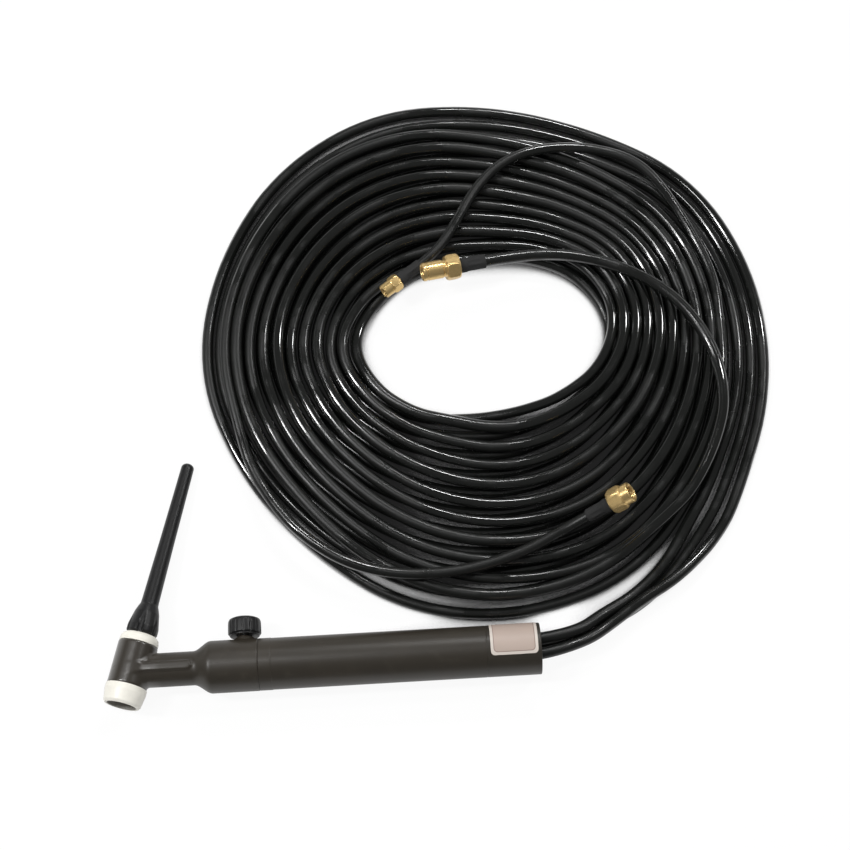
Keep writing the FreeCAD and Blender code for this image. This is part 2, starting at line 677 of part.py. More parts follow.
def make_plumbing():
    barb_start = S.barb_start
    block_rear = S.valve_place + S.block_length * 0.5 - S.tube_seat
    runs = (
        ("gas", GAS_TURN, S.tube_radius, S.gas_hose_radius),
        ("power", POWER_TURN, S.power_tube_radius, S.power_hose_radius),
        ("water", WATER_TURN, S.tube_radius, S.water_hose_radius),
    )
    for name, turn, radius, hose_radius in runs:
        y, z = on_circle(turn)
        start = core_socket(turn)
        end = float(S.barb_start - S.collar_length)
        bore = radius - S.tube_wall
        if name == "gas":
            front_end = float(S.valve_place - S.block_length * 0.5 + S.tube_seat)
            make_tube("gas_tube_front", radius, bore, start, front_end, y, z)
            make_tube("gas_tube_rear", radius, bore, float(block_rear), end, y, z)
        else:
            make_tube(name + "_tube", radius, bore, start, end, y, z)
        barb_radius = hose_radius - S.barb_radius_less
        barb = turned(name + "_barb", (
            (barb_radius - S.barb_wall, -S.collar_length),
            (hose_radius, -S.collar_length),
            (hose_radius, 0),
            (barb_radius, 0),
            (barb_radius, S.barb_length),
            (barb_radius - S.barb_wall, S.barb_length),
        ))
        keep(barb, on_handle(barb_start, y, z))
        ferrule = turned(name + "_ferrule", (
            (hose_radius, 0),
            (hose_radius + S.ferrule_wall, 0),
            (hose_radius + S.ferrule_wall, S.ferrule_length),
            (hose_radius, S.ferrule_length),
        ))
        keep(ferrule, on_handle(barb_start + S.ferrule_gap, y, z))


def make_tube(label, radius, bore, start, end, y, z):
    outer = cylinder(label + "_outer", radius, end - start, on_handle(start, y, z))
    inner = cylinder(label + "_bore", bore, end - start, on_handle(start, y, z))
    return keep(cut(label, outer, [inner]))


# Hoses. Each is a lead from its barb to the coil, its loops, and a tail that ends in a brass nut.
# Places outside the handle are measured from the floor below O.

IN_HANDLE = ((0.0, 0.0), (26.0, 0.0), (53.0, -30.0), (83.0, -60.0), (113.0, -90.0), (144.0, -120.0))
POWER_LEAD = ((260, 7, 14.8), (280.5, 16, 9.5), (297, 30.5, 5), (311.5, 47.5, 3.8))
GAS_LEAD = ((262, 1.5, 7.5), (283.5, 10.1, 5), (302, 24, 3.5), (318.5, 42, 3.2))
WATER_LEAD = ((262, -3.5, 16), (286.5, 5.6, 10.5), (308, 20.4, 5.5), (326.5, 40, 3.6))
POWER_TAIL = ((349.7, 118.4, 16.4), (357.4, 145.2, 19.7), (351.8, 179.7, 19.6),
              (331, 211.5, 19.6), (298.5, 231.5, 19.6), (263, 240.3, 20.2), (232, 238.3, 22),
              (206.5, 233.6, 25.6))
GAS_TAIL = ((347.6, 252.7, 11), (334, 278.5, 14.8), (318, 298, 18.9), (290, 311, 19), (257, 315.5, 19),
            (226, 309, 19), (209, 293, 19), (202, 272, 19.2), (194, 253, 19.4), (185.8, 241.2, 20.1),
            (169.5, 229.5, 20.7))
WATER_TAIL = ((86, 93.5, 15.3), (102, 73, 19.2), (128.5, 54.5, 19.2),
              (160, 46.5, 19.2), (195, 47, 19.2), (228, 55.5, 19.2), (247.4, 64.6, 19.2), (262.4, 72.1, 19.3),
              (279.5, 78.7, 30))

COIL_MIDDLE = Vector(float(S.coil_centre_x), float(S.coil_centre_y), 0)
LEAD_JOIN = 27.0
TAIL_JOIN = 20.0
HOSES_SIDE_BY_SIDE = 3
CLIMB = 120.0
NUDGE = 0.1


def ring_radius(turn, half_x, half_y, shift):
    """Distance from the coil's middle to an ellipse that lies shift behind it."""
    across, up = math.cos(turn) / half_x, math.sin(turn) / half_y
    square = across ** 2 + up ** 2
    lean = shift * up / half_y
    return (lean + math.sqrt(lean ** 2 - square * ((shift / half_y) ** 2 - 1))) / square


class Winding:
    """One hose's loops: in along the lower layer, up at the innermost turn, and out along the upper one."""

    def __init__(self, radius, first_step, end_turn, loops_out):
        self.radius = radius
        self.first_step = first_step
        self.reversal = (float(S.coil_steps) - first_step) * 360.0 / HOSES_SIDE_BY_SIDE
        start = float(S.coil_start)
        self.length = 360.0 * loops_out + end_turn - start
        self.rise = 2 * float(S.power_hose_radius) + float(S.layer_gap)

    def point(self, swept):
        """Place on the hose's axis after it has swept that many degrees from the coil's start."""
        after = swept - self.reversal
        step = float(S.coil_steps) - abs(after) * HOSES_SIDE_BY_SIDE / 360.0
        share = step / float(S.coil_steps)
        turn = math.radians(float(S.coil_start) + swept)
        lower = ring_radius(turn, float(S.coil_outer_x), float(S.coil_outer_y), float(S.coil_outer_shift))
        upper = ring_radius(turn, float(S.coil_upper_x), float(S.coil_upper_y), float(S.coil_upper_shift))
        inner = ring_radius(turn, float(S.coil_inner_x), float(S.coil_inner_y), float(S.coil_inner_shift))
        climb = min(1.0, max(0.0, after / CLIMB + 0.5))
        climb = climb * climb * (3 - 2 * climb)
        outer = lower + (upper - lower) * climb
        reach = outer * (1 - share) + inner * share
        return COIL_MIDDLE + Vector(reach * math.cos(turn), reach * math.sin(turn),
                                    self.radius + self.rise * climb)

    def way(self, swept):
        return (self.point(swept + NUDGE) - self.point(swept - NUDGE)).normalize()

    def stops(self):
        """The quarter turns, and the climb's two ends and its middle, that the loops' arcs run between."""
        around = [self.reversal - CLIMB / 2, self.reversal, self.reversal + CLIMB / 2]
        first = -float(S.coil_start)
        quarters = [first + 90.0 * index for index in range(int(self.length // 90) + 1)]
        kept = [swept for swept in quarters
                if 8 < swept < self.length - 8 and abs(swept - self.reversal) > CLIMB / 2 + 20]
        return sorted(kept + around)


def arc_edge(start, way, end):
    """The arc that leaves start along way and reaches end."""
    chord = end - start
    aside = way - chord * (way.dot(chord) / chord.dot(chord))
    if aside.Length < 1e-7:
        return Part.LineSegment(start, end).toShape()
    height = chord.Length / 2 * math.tan(way.getAngle(chord) / 2)
    return Part.Arc(start, start + chord * 0.5 + aside.normalize() * height, end).toShape()


def biarc(start, start_way, end, end_way):
    """Two arcs that meet smoothly between two places with given directions."""
    chord = end - start
    along = chord.dot(start_way + end_way)
    spread = 2 * (1 - start_way.dot(end_way))
    reach = (math.sqrt(along ** 2 + spread * chord.dot(chord)) - along) / spread
    first, last = start + start_way * reach, end - end_way * reach
    middle = (first + last) * 0.5
    return [arc_edge(start, start_way, middle), arc_edge(end, -end_way, middle)]


def run_edges(name, points):
    """Straight runs joined by tangent arcs, each as large as its two runs allow."""
    edges, radii = [], []
    at = points[0]
    for before, corner, after in zip(points, points[1:], points[2:]):
        way_in, way_out = (corner - before).normalize(), (after - corner).normalize()
        turn = way_in.getAngle(way_out)
        reach = 0.45 * min((corner - before).Length, (after - corner).Length)
        start, end = corner - way_in * reach, corner + way_out * reach
        edges += [Part.LineSegment(at, start).toShape(), arc_edge(start, way_in, end)]
        radii.append(reach / math.tan(turn / 2))
        at = end
    edges.append(Part.LineSegment(at, points[-1]).toShape())
    print("%s radii %s" % (name, " ".join("%.0f" % radius for radius in radii)))
    return edges


def winding_edges(winding, start, start_way, end, end_way):
    straight = 2 * winding.radius
    first, last = start + start_way * straight, end - end_way * straight
    edges = [Part.LineSegment(start, first).toShape()]
    at, way = first, start_way
    for swept in winding.stops():
        following, following_way = winding.point(swept), winding.way(swept)
        edges += biarc(at, way, following, following_way)
        at, way = following, following_way
    edges += biarc(at, way, last, end_way)
    return edges + [Part.LineSegment(last, end).toShape()]


def hose_part(label, edges, start, start_way, radius):
    """A Part::Feature swept along the edges, checked against its section times its length."""
    wire = Part.Wire(edges)
    ring = Part.Wire([Part.makeCircle(radius, start, start_way)])
    solid = wire.makePipeShell([ring], True, False)
    expected = math.pi * radius ** 2 * wire.Length
    print("%s length %.0f volume ratio %.4f" % (label, wire.Length, solid.Volume / expected))
    part = doc.addObject("Part::Feature", label)
    part.Shape = solid
    part.Label = label
    return part, wire


def socket_in(label, part, place, radius, length):
    """Cut a barb's seat into the end of a hose."""
    seat = cylinder(label + "_seat", radius, length, place)
    return cut(label, part, [seat])


def make_hose(name, radius, tube_turn, first_step, end_turn, loops_out, lead, tail, fitting):
    """Lead, coil and tail of one hose, and what is crimped to its far end."""
    size = float(radius)
    winding = Winding(size, first_step, end_turn, loops_out)
    points = []
    for distance, twist in IN_HANDLE:
        y, z = on_circle(tube_turn + twist)
        points.append(FLOOR.multVec(Vector(float(S.barb_start) + distance, y, z)))
    points += [Vector(*place) for place in lead]
    points += [winding.point(0) - winding.way(0) * LEAD_JOIN, winding.point(0)]
    join_way = (points[-1] - points[-2]).normalize()
    lead_part, lead_wire = hose_part(name + "_hose_lead_blank", run_edges(name + " lead", points), points[0],
                                     (points[1] - points[0]).normalize(), size)
    y, z = on_circle(tube_turn)
    barb_seat = FLOOR.multiply(on_handle(S.barb_start, y, z))
    barb_radius = radius - S.barb_radius_less
    on_hoses.append(socket_in(name + "_hose_lead", lead_part, barb_seat, barb_radius, S.barb_length))

    tail_way = winding.way(winding.length)
    tail_points = [winding.point(winding.length), winding.point(winding.length) + tail_way * TAIL_JOIN]
    tail_points += [Vector(*place) for place in tail]
    edges = winding_edges(winding, points[-1], join_way, tail_points[0], tail_way)
    coil_part, coil_wire = hose_part(name + "_hose_coil", edges, points[-1], join_way, size)
    on_hoses.append(coil_part)

    end, end_way = tail_points[-1], (tail_points[-1] - tail_points[-2]).normalize()
    tail_part, tail_wire = hose_part(name + "_hose_tail_blank", run_edges(name + " tail", tail_points),
                                     tail_points[0], tail_way, size)
    seat_place = toward(end_way, end - end_way * float(S.barb_length))
    on_hoses.append(socket_in(name + "_hose_tail", tail_part, seat_place, barb_radius, S.barb_length))
    whole = lead_wire.Length + coil_wire.Length + tail_wire.Length
    print("%s hose %.0f mm in all" % (name, whole))
    make_fitting(name, radius, toward(end_way, end), *fitting)
    return [lead_wire, coil_wire, tail_wire]


CHAMFER_RISE = 0.22


def make_fitting(name, radius, place, corner, hexagon, barrel, length, thread):
    """Crimped ferrule, barbed nipple and its loose nut, along Z from the hose's end."""
    barb_radius = radius - S.barb_radius_less
    outer = radius + S.ferrule_wall
    neck = radius - S.nipple_neck_less
    head_start = S.nut_start + S.nut_wall + S.head_play
    head_end = head_start + S.nipple_head_length
    thread_start = S.nut_wall + 2 * S.head_play + S.nipple_head_length + S.nipple_cone_length
    head = thread - S.head_play
    ferrule = turned(name + "_end_ferrule", (
        (radius, -S.ferrule_length),
        (outer, -S.ferrule_length),
        (outer, -S.ferrule_gap),
        (radius, -S.ferrule_gap),
    ))
    nipple = turned(name + "_nipple", (
        (barb_radius - S.barb_wall, -S.barb_length),
        (barb_radius, -S.barb_length),
        (barb_radius, 0),
        (outer, 0),
        (outer, S.nipple_collar),
        (neck, S.nipple_collar),
        (neck, head_start),
        (head, head_start),
        (head, head_end),
        (barb_radius - S.barb_wall * 0.5, head_end + S.nipple_cone_length),
        (barb_radius - S.barb_wall, head_end + S.nipple_cone_length),
    ))
    nut = new_body(name + "_nut")
    block = nut.newObject("PartDesign::AdditivePrism", "Hexagon")
    block.Polygon = 6
    block.setExpression("Circumradius", corner.text)
    block.setExpression("Height", hexagon.text)
    flat = corner * math.cos(math.radians(30)) + S.edge * 0.5
    chamfer = corner * CHAMFER_RISE
    doc.recompute()
    turn_about_z(nut, "Barrel", (
        (neck + S.nut_play, S.edge),
        (barrel, S.edge),
        (barrel, length - S.edge),
        (barrel - S.edge, length),
        (neck + S.nut_play, length),
    ))
    past = corner + 2 * chamfer
    turn_about_z(nut, "RearChamfer", (
        (flat, -chamfer), (past, -chamfer), (past, chamfer), (flat, 0)), kind="PartDesign::Groove")
    turn_about_z(nut, "FrontChamfer", (
        (flat, hexagon), (past, hexagon - chamfer), (past, hexagon + chamfer), (flat, hexagon + chamfer)),
        kind="PartDesign::Groove")
    turn_about_z(nut, "Bore", (
        (0, -1),
        (neck + S.nut_play, -1),
        (neck + S.nut_play, S.nut_wall),
        (thread + S.thread_relief, S.nut_wall),
        (thread + S.thread_relief, thread_start),
        (thread, thread_start),
        (thread, length + 1),
        (0, length + 1),
    ), kind="PartDesign::Groove")
    for item, offset in ((ferrule, 0.0), (nipple, 0.0), (nut, float(S.nut_start))):
        item.Placement = place.multiply(Placement(Vector(0, 0, offset), Rotation()))
        on_hoses.append(item)


def least_gap(first, second, reach):
    """Least distance between two hoses' axes, or within one beyond reach along it, measured on points."""
    step, cell = 2.5, 12.0
    lines = [wire.discretize(Distance=step) for wire in (first, second)]
    grid = {}
    for index, place in enumerate(lines[1]):
        grid.setdefault(tuple(int(part // cell) for part in place), []).append(index)
    least = cell
    for index, place in enumerate(lines[0]):
        home = [int(part // cell) for part in place]
        near = [home[0] + a for a in (-1, 0, 1)], [home[1] + b for b in (-1, 0, 1)], [home[2] + c for c in (-1, 0, 1)]
        for key in ((a, b, c) for a in near[0] for b in near[1] for c in near[2]):
            for other in grid.get(key, ()):
                if first is second and abs(other - index) * step < reach:
                    continue
                for end in (other - 1, other + 1):
                    if 0 <= end < len(lines[1]):
                        least = min(least, place.distanceToLineSegment(lines[1][other], lines[1][end]).Length)
    return least


def make_hoses():
    hoses = (
        ("water", S.water_hose_radius, WATER_TURN, -0.7, 200.0, 7, WATER_LEAD, WATER_TAIL,
         (S.water_nut_radius, S.water_nut_hexagon, S.water_nut_barrel, S.water_nut_length, S.water_nut_thread)),
        ("gas", S.gas_hose_radius, GAS_TURN, 0.26, 9.0, 7, GAS_LEAD, GAS_TAIL,
         (S.gas_nut_radius, S.gas_nut_hexagon, S.gas_nut_barrel, S.gas_nut_length, S.gas_nut_thread)),
        ("power", S.power_hose_radius, POWER_TURN, 1.27, -45.0, 7, POWER_LEAD, POWER_TAIL,
         (S.power_nut_radius, S.power_nut_hexagon, S.power_nut_barrel, S.power_nut_length, S.power_nut_thread)),
    )
    laid = []
    for hose in hoses:
        wires = make_hose(*hose)
        radius = float(hose[1])
        gap = least_gap(wires[1], wires[1], 8 * radius) - 2 * radius
        print("%s coil's least gap to itself %.2f mm" % (hose[0], gap))
        laid += [(hose[0] + part, radius, wire) for part, wire in zip((" lead", " coil", " tail"), wires)]
    for index, (name, radius, wire) in enumerate(laid):
        for other_name, other_radius, other in laid[index + 1:]:
            if name.split()[0] != other_name.split()[0]:
                gap = least_gap(wire, other, 0) - radius - other_radius
                if gap < 1:
                    print("%s to %s %.2f mm" % (name, other_name, gap))
    return laid


make_core()
make_cup_ring()
make_cap_ring()
make_back_cap()
make_cap_seal()
make_moulding()
make_valve()
make_handle()
make_label()
make_plumbing()
laid_hoses = make_hoses()
doc.recompute()

# The origin is the middle of the torch itself, without its hoses, on the floor.
box = nodes[0].Shape.optimalBoundingBox()
for item in nodes[1:]:
    box.add(item.Shape.optimalBoundingBox())
origin = Placement(Vector(-box.Center.x, -box.Center.y, -box.ZMin), Rotation())
print("O lies at %.3f %.3f %.3f" % tuple(origin.Base))
for item in nodes + on_hoses:
    item.Placement = origin.multiply(item.Placement)
doc.recompute()

for item in doc.Objects:
    if "Invalid" in item.State or "Error" in item.State:
        raise RuntimeError("%s did not build" % item.Label)
os.makedirs("parts", exist_ok=True)
for item in nodes + on_hoses:
    shape = item.Shape
    if shape.isNull() or not shape.isValid() or not shape.Solids:
        raise RuntimeError("%s has no sound shape" % item.Label)
    print("%-16s %2d solids %9.1f mm3" % (item.Label, len(shape.Solids), shape.Volume))
    shape.exportStep("parts/%s.step" % item.Label)
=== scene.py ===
"""Studio model of a water-cooled welding torch with its three coiled hoses, laid out as an add-on."""

import json
import math
from functools import cache, partialmethod

import bmesh
import bpy
from bpy.props import FloatProperty, FloatVectorProperty, IntProperty, PointerProperty
from bpy.types import Operator, Panel, PropertyGroup
from mathutils import Matrix, Vector


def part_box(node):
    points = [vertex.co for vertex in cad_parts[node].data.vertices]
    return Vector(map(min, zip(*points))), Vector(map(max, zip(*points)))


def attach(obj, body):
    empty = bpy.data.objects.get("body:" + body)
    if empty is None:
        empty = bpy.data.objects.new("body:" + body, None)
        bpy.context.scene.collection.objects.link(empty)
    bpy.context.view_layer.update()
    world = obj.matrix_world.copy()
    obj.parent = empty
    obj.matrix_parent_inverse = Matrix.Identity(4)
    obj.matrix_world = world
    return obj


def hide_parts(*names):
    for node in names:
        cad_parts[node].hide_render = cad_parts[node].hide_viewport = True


bl_info = {
    "name": "Welding Torch",
    "version": (1, 0, 0),
    "blender": (4, 5, 0),
    "location": "View3D > Sidebar > Torch",
    "description": "Builds a welding torch with a bent head, a tubular handle and coiled hoses",
    "category": "Add Mesh",
}

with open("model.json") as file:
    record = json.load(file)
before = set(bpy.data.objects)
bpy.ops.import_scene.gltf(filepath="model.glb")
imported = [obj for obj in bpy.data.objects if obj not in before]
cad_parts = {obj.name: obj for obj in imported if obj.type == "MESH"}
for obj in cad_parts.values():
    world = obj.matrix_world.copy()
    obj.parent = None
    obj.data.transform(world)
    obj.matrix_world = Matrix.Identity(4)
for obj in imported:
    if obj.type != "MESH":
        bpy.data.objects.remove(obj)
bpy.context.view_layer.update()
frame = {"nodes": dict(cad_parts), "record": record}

MM = 0.001
TAU = 2 * math.pi

# Lengths below are in millimetres, along the handle's and the head's own axes.

HEAD_ANGLE = math.radians(74.3)
AXIS_HEIGHT = 15.1
HANDLE_END = 236.0
BARREL_TOP, BARREL_BOTTOM = 16.6, -9.0
CAP_FACE, CAP_LENGTH, CAP_TIP_RADIUS = 22.4, 107.7, 3.8
# Core radius, and the radius inside which the cup ring's bore gets painted shade.
CORE_RADIUS, MOUTH_SHADE_RADIUS = 8.0, 8.85
VALVE_PLACE, KNOB_BOTTOM = 66.0, 17.0
FERRULE_WALL, FERRULE_LENGTH, FERRULE_GAP = 0.7, 13.0, 0.2
BARB_START, BARB_LENGTH = 92.0, 16.0
COLLAR_LENGTH, FLANGE_LENGTH, NIPPLE_END = 2.4, 1.8, 1.2
NUT_START, NUT_WALL, HEAD_PLAY = 3.4, 2.6, 0.35
COLLET_RADIUS, COLLET_PITCH = 4.35, 1.0
CAP_BORE_RADIUS, CAP_THREAD_RADIUS, CAP_PITCH = 5.52, 5.4, 1.27
NUT_PITCH = 0.9

LENGTH = dict(unit="LENGTH", precision=4)
COLOUR = dict(size=3, min=0, max=1, subtype="COLOR")


class TorchSizes(PropertyGroup):
    """Sizes of the torch that a user may change."""

    handle_radius: FloatProperty(
        name="Handle Radius", description="Outside radius of the handle's front band",
        default=15.0 * MM, min=0.01, max=0.02, **LENGTH)
    barrel_radius: FloatProperty(
        name="Barrel Radius", description="Moulded barrel of the head",
        default=11.6 * MM, min=0.009, max=0.014, **LENGTH)
    neck_radius: FloatProperty(
        name="Neck Radius", description="Moulded neck between head and valve housing",
        default=9.8 * MM, min=0.006, max=0.012, **LENGTH)
    housing_radius: FloatProperty(
        name="Housing Radius", description="Valve housing in front of the handle",
        default=15.1 * MM, min=0.01, max=0.02, **LENGTH)
    barrel_blend: FloatProperty(
        name="Barrel Blend", description="Rounding where the neck meets the barrel",
        default=1.6 * MM, min=0.0002, max=0.004, **LENGTH)
    knob_radius: FloatProperty(
        name="Knob Radius", description="Grip of the valve knob",
        default=9.6 * MM, min=0.005, max=0.015, **LENGTH)
    cap_rim_radius: FloatProperty(
        name="Cap Rim Radius", description="Fluted rim of the back cap",
        default=9.1 * MM, min=0.006, max=0.012, **LENGTH)
    power_hose_radius: FloatProperty(
        name="Power Hose Radius", description="Hose that carries power and returning water",
        default=3.6 * MM, min=0.002, max=0.005, **LENGTH)
    water_hose_radius: FloatProperty(
        name="Water Hose Radius", description="Hose that brings cooling water",
        default=3.3 * MM, min=0.002, max=0.005, **LENGTH)
    gas_hose_radius: FloatProperty(
        name="Gas Hose Radius", description="Hose that brings shielding gas",
        default=3.1 * MM, min=0.002, max=0.005, **LENGTH)
    knob_flutes: IntProperty(
        name="Knob Flutes", description="Grip flutes round the valve knob", default=14, min=6, max=30)
    cap_flutes: IntProperty(
        name="Cap Flutes", description="Grip flutes round the back cap's rim", default=6, min=3, max=30)
    coil_looseness: FloatProperty(
        name="Coil Looseness", description="How far the loops stray from an even spiral",
        default=1.4 * MM, min=0.0, max=0.004, **LENGTH)


class TorchColours(PropertyGroup):
    """Colours of the torch's finishes."""

    moulding: FloatVectorProperty(
        name="Moulding", description="Dark satin plastic of handle, neck and barrel",
        default=(0.0355, 0.0295, 0.0215), **COLOUR)
    cap: FloatVectorProperty(
        name="Cap", description="Black plastic of the back cap and the knob",
        default=(0.0075, 0.0075, 0.0078), **COLOUR)
    ring: FloatVectorProperty(
        name="Insulator Rings", description="Ivory insulator rings", default=(0.90, 0.875, 0.79), **COLOUR)
    hose: FloatVectorProperty(
        name="Hose", description="Glossy black hose", default=(0.0062, 0.0068, 0.0061), **COLOUR)
    brass: FloatVectorProperty(
        name="Brass", description="Nuts and fittings", default=(0.80, 0.57, 0.25), **COLOUR)
    label: FloatVectorProperty(
        name="Label", description="Bare beige label film", default=(0.50, 0.40, 0.345), **COLOUR)


# Node trees: numbers as Python expressions, and one way to add any other node


class Value:
    """A node's output that takes part in Python expressions."""

    def __init__(self, nodes, socket):
        self.nodes = nodes
        self.socket = socket

    def math(self, operation, *others):
        inputs = dict(enumerate((self,) + others))
        return self.nodes.add("ShaderNodeMath", {"operation": operation}, inputs)

    def reflected(self, operation, other):
        return self.nodes.add("ShaderNodeMath", {"operation": operation}, {0: other, 1: self})

    __add__ = __radd__ = partialmethod(math, "ADD")
    __mul__ = __rmul__ = partialmethod(math, "MULTIPLY")
    __sub__ = partialmethod(math, "SUBTRACT")
    __rsub__ = partialmethod(reflected, "SUBTRACT")
    __truediv__ = partialmethod(math, "DIVIDE")
    __rtruediv__ = partialmethod(reflected, "DIVIDE")
    __neg__ = partialmethod(math, "MULTIPLY", -1.0)
    least = partialmethod(math, "MINIMUM")
    most = partialmethod(math, "MAXIMUM")
    above = partialmethod(math, "GREATER_THAN")
    below = partialmethod(math, "LESS_THAN")
    root = partialmethod(math, "SQRT")
    size = partialmethod(math, "ABSOLUTE")
    sine = partialmethod(math, "SINE")
    cosine = partialmethod(math, "COSINE")
    fraction = partialmethod(math, "FRACT")
    nearest = partialmethod(math, "ROUND")

    def squared(self):
        return self * self

    def kept(self):
        """The number held between 0 and 1."""
        return self.most(0.0).least(1.0)

    def ramp(self, start, end):
        """0 at start, 1 at end, eased in between."""
        share = ((self - start) / (end - start)).kept()
        return share.squared() * (3.0 - 2.0 * share)


def distance(first, *others):
    """Length of a vector with these parts."""
    return sum((part.squared() for part in others), first.squared()).root()


class Nodes:
    """Adds nodes to one tree."""

    def __init__(self, tree):
        self.tree = tree

    def add(self, kind, settings=None, inputs=None, output=0):
        node = self.tree.nodes.new(kind)
        for name, value in (settings or {}).items():
            setattr(node, name, value)
        for key, value in (inputs or {}).items():
            if isinstance(value, Value):
                self.feed(node, key, value)
            else:
                node.inputs[key].default_value = value
        return Value(self, node.outputs[output])

    def feed(self, node, key, value):
        self.tree.links.new(value.socket, node.inputs[key])

    def other(self, value, output):
        """Another output of the same node."""
        return Value(self, value.socket.node.outputs[output])

    def parts(self, vector):
        x = self.add("ShaderNodeSeparateXYZ", None, {0: vector})
        return x, self.other(x, 1), self.other(x, 2)

    def mixed(self, share, first, second):
        """Colour that goes from first to second."""
        ends = [end if isinstance(end, Value) else (*end, 1.0) for end in (first, second)]
        return self.add("ShaderNodeMix", {"data_type": "RGBA"}, {0: share, 6: ends[0], 7: ends[1]}, output=2)

    def rays(self):
        """What the camera sees directly or through glass, and what a gloss mirrors."""
        camera = self.add("ShaderNodeLightPath", output="Is Camera Ray")
        return camera.most(self.other(camera, "Is Transmission Ray")), self.other(camera, "Is Glossy Ray")


# Materials


def shaded(colour, factor):
    return tuple(min(1.0, part * factor) for part in colour)


class Finish(Nodes):
    """A material with one Principled shader, read on the object's own coordinates."""

    def __init__(self, name, colour, metallic=0.0, coat=0.0, coat_roughness=0.1, ior=1.5):
        self.material = bpy.data.materials.new(name)
        self.material.use_nodes = True
        super().__init__(self.material.node_tree)
        self.colour = colour
        self.shader = self.tree.nodes["Principled BSDF"]
        for socket, value in (("Base Color", (*colour, 1.0)), ("Metallic", metallic), ("Coat Weight", coat),
                              ("Coat Roughness", coat_roughness), ("IOR", ior)):
            self.shader.inputs[socket].default_value = value
        self.place = self.add("ShaderNodeTexCoord", output="Object")

    def along(self, place):
        """Coordinates turned into a piece's own frame."""
        inverse = place.inverted()
        return self.add("ShaderNodeMapping", {"vector_type": "POINT"}, {
            "Vector": self.place, "Location": inverse.to_translation(), "Rotation": inverse.to_euler()})

    def noise(self, scale, detail=3.0, roughness=0.55, vector=None, stretch=None):
        """Noise from 0 to 1 whose grain is 1 / scale metres."""
        vector = vector or self.place
        if stretch:
            vector = self.add("ShaderNodeMapping", None, {"Vector": vector, "Scale": stretch})
        return self.add("ShaderNodeTexNoise", None, {
            "Vector": vector, "Scale": scale, "Detail": detail, "Roughness": roughness})

    def tool_marks(self, along, turns, waver):
        """Rings from 0 to 1 that a lathe leaves, with turns radians of them in a metre."""
        return (along * turns + waver).sine() * 0.5 + 0.5

    def toward(self, share, other):
        """The finish's colour that goes over to another one."""
        return self.mixed(share, self.colour, other)

    def shades(self, share, factor):
        """The finish's colour that goes over to a darker or a lighter one."""
        return self.toward(share, shaded(self.colour, factor))

    def surface(self, colour, roughness, relief, depth, strength=0.5):
        """The material with what changes over it. A relief of 1 stands depth metres out."""
        normal = self.add("ShaderNodeBump", None, {"Height": relief, "Distance": depth, "Strength": strength})
        for socket, value in (("Base Color", colour), ("Roughness", roughness), ("Normal", normal)):
            self.feed(self.shader, socket, value)
        return self.material


# Where along the handle the barrel's gloss and the darker stretch behind the seam begin, and are full

GLOSS_START, GLOSS_FULL = 20.0, 10.0
REAR_START, REAR_FULL = 204.5, 205.5


def moulding_finish(colours):
    """Warm dark satin plastic with fine grain, faint flow marks and a little rubbed dust."""
    finish = Finish("torch_moulding", colours.moulding, coat_roughness=0.28)
    x, _, _ = finish.parts(finish.place)
    cloud = finish.noise(38, 4)
    flow = finish.noise(90, stretch=(0.25, 1, 1))
    grain = finish.noise(2600, 2)
    pits = finish.noise(900, 4, 0.7)
    handling = finish.noise(160, 5, 0.6).ramp(0.55, 0.75)
    rear = x.ramp(TORCH_PLACE.x + REAR_START * MM, TORCH_PLACE.x + REAR_FULL * MM)
    barrel = x.ramp(TORCH_PLACE.x + GLOSS_START * MM, TORCH_PLACE.x + GLOSS_FULL * MM)
    dust = handling * 0.5 + cloud.ramp(0.45, 0.7) * 0.35
    base = finish.mixed(dust, shaded(colours.moulding, 0.88), shaded(colours.moulding, 1.28))
    finish.feed(finish.shader, "Coat Weight", barrel * 0.7 + 0.05)
    return finish.surface(
        finish.mixed(rear * 0.35, base, shaded(colours.moulding, 0.7)),
        0.36 + flow * 0.10 + handling * 0.06 - barrel * 0.12,
        grain * 0.5 + pits * 0.35 + flow * 0.3, 0.00006)


def cap_finish(name, colours, place):
    """Satin black moulded plastic with soft lengthwise sink marks and light handling marks."""
    finish = Finish(name, colours.cap, coat=0.05, coat_roughness=0.3, ior=1.42)
    own = finish.along(place)
    marks = finish.noise(700, 4, 0.65, own, (1, 1, 0.12)).ramp(0.5, 0.8)
    cloud = finish.noise(60, vector=own)
    return finish.surface(
        finish.shades(cloud * 0.6 + marks * 0.4, 2.1), 0.32 + cloud * 0.12 + marks * 0.1,
        finish.noise(1800) * 0.6 + marks * 0.5, 0.00004, 0.6)


def ring_finish(colours):
    """Ivory insulating plastic, shinier where it was machined, with painted shade inside the ring's opening.
    """
    finish = Finish("ivory_rings", colours.ring, coat=0.1, coat_roughness=0.3)
    across, up, along = finish.parts(finish.along(HEAD))
    mouth_shade = distance(across, up).below(MOUTH_SHADE_RADIUS * MM) * along.below(0.0)
    lathe = finish.tool_marks(along, 9000.0, finish.noise(400, 2) * 3.0)
    cloud = finish.noise(180, 4)
    specks = finish.noise(1500, 2).ramp(0.68, 0.76)
    ivory = finish.shades(cloud.ramp(0.35, 0.75) * 0.4 + specks * 0.3, 0.86)
    # Painted shade: the bore, inside that radius and below the barrel, goes over to dark grey.
    return finish.surface(
        finish.mixed(mouth_shade * 0.94, ivory, (0.24, 0.23, 0.21)), 0.33 + lathe * 0.08 + cloud * 0.08,
        lathe * 0.6 + cloud * 0.4, 0.00003)


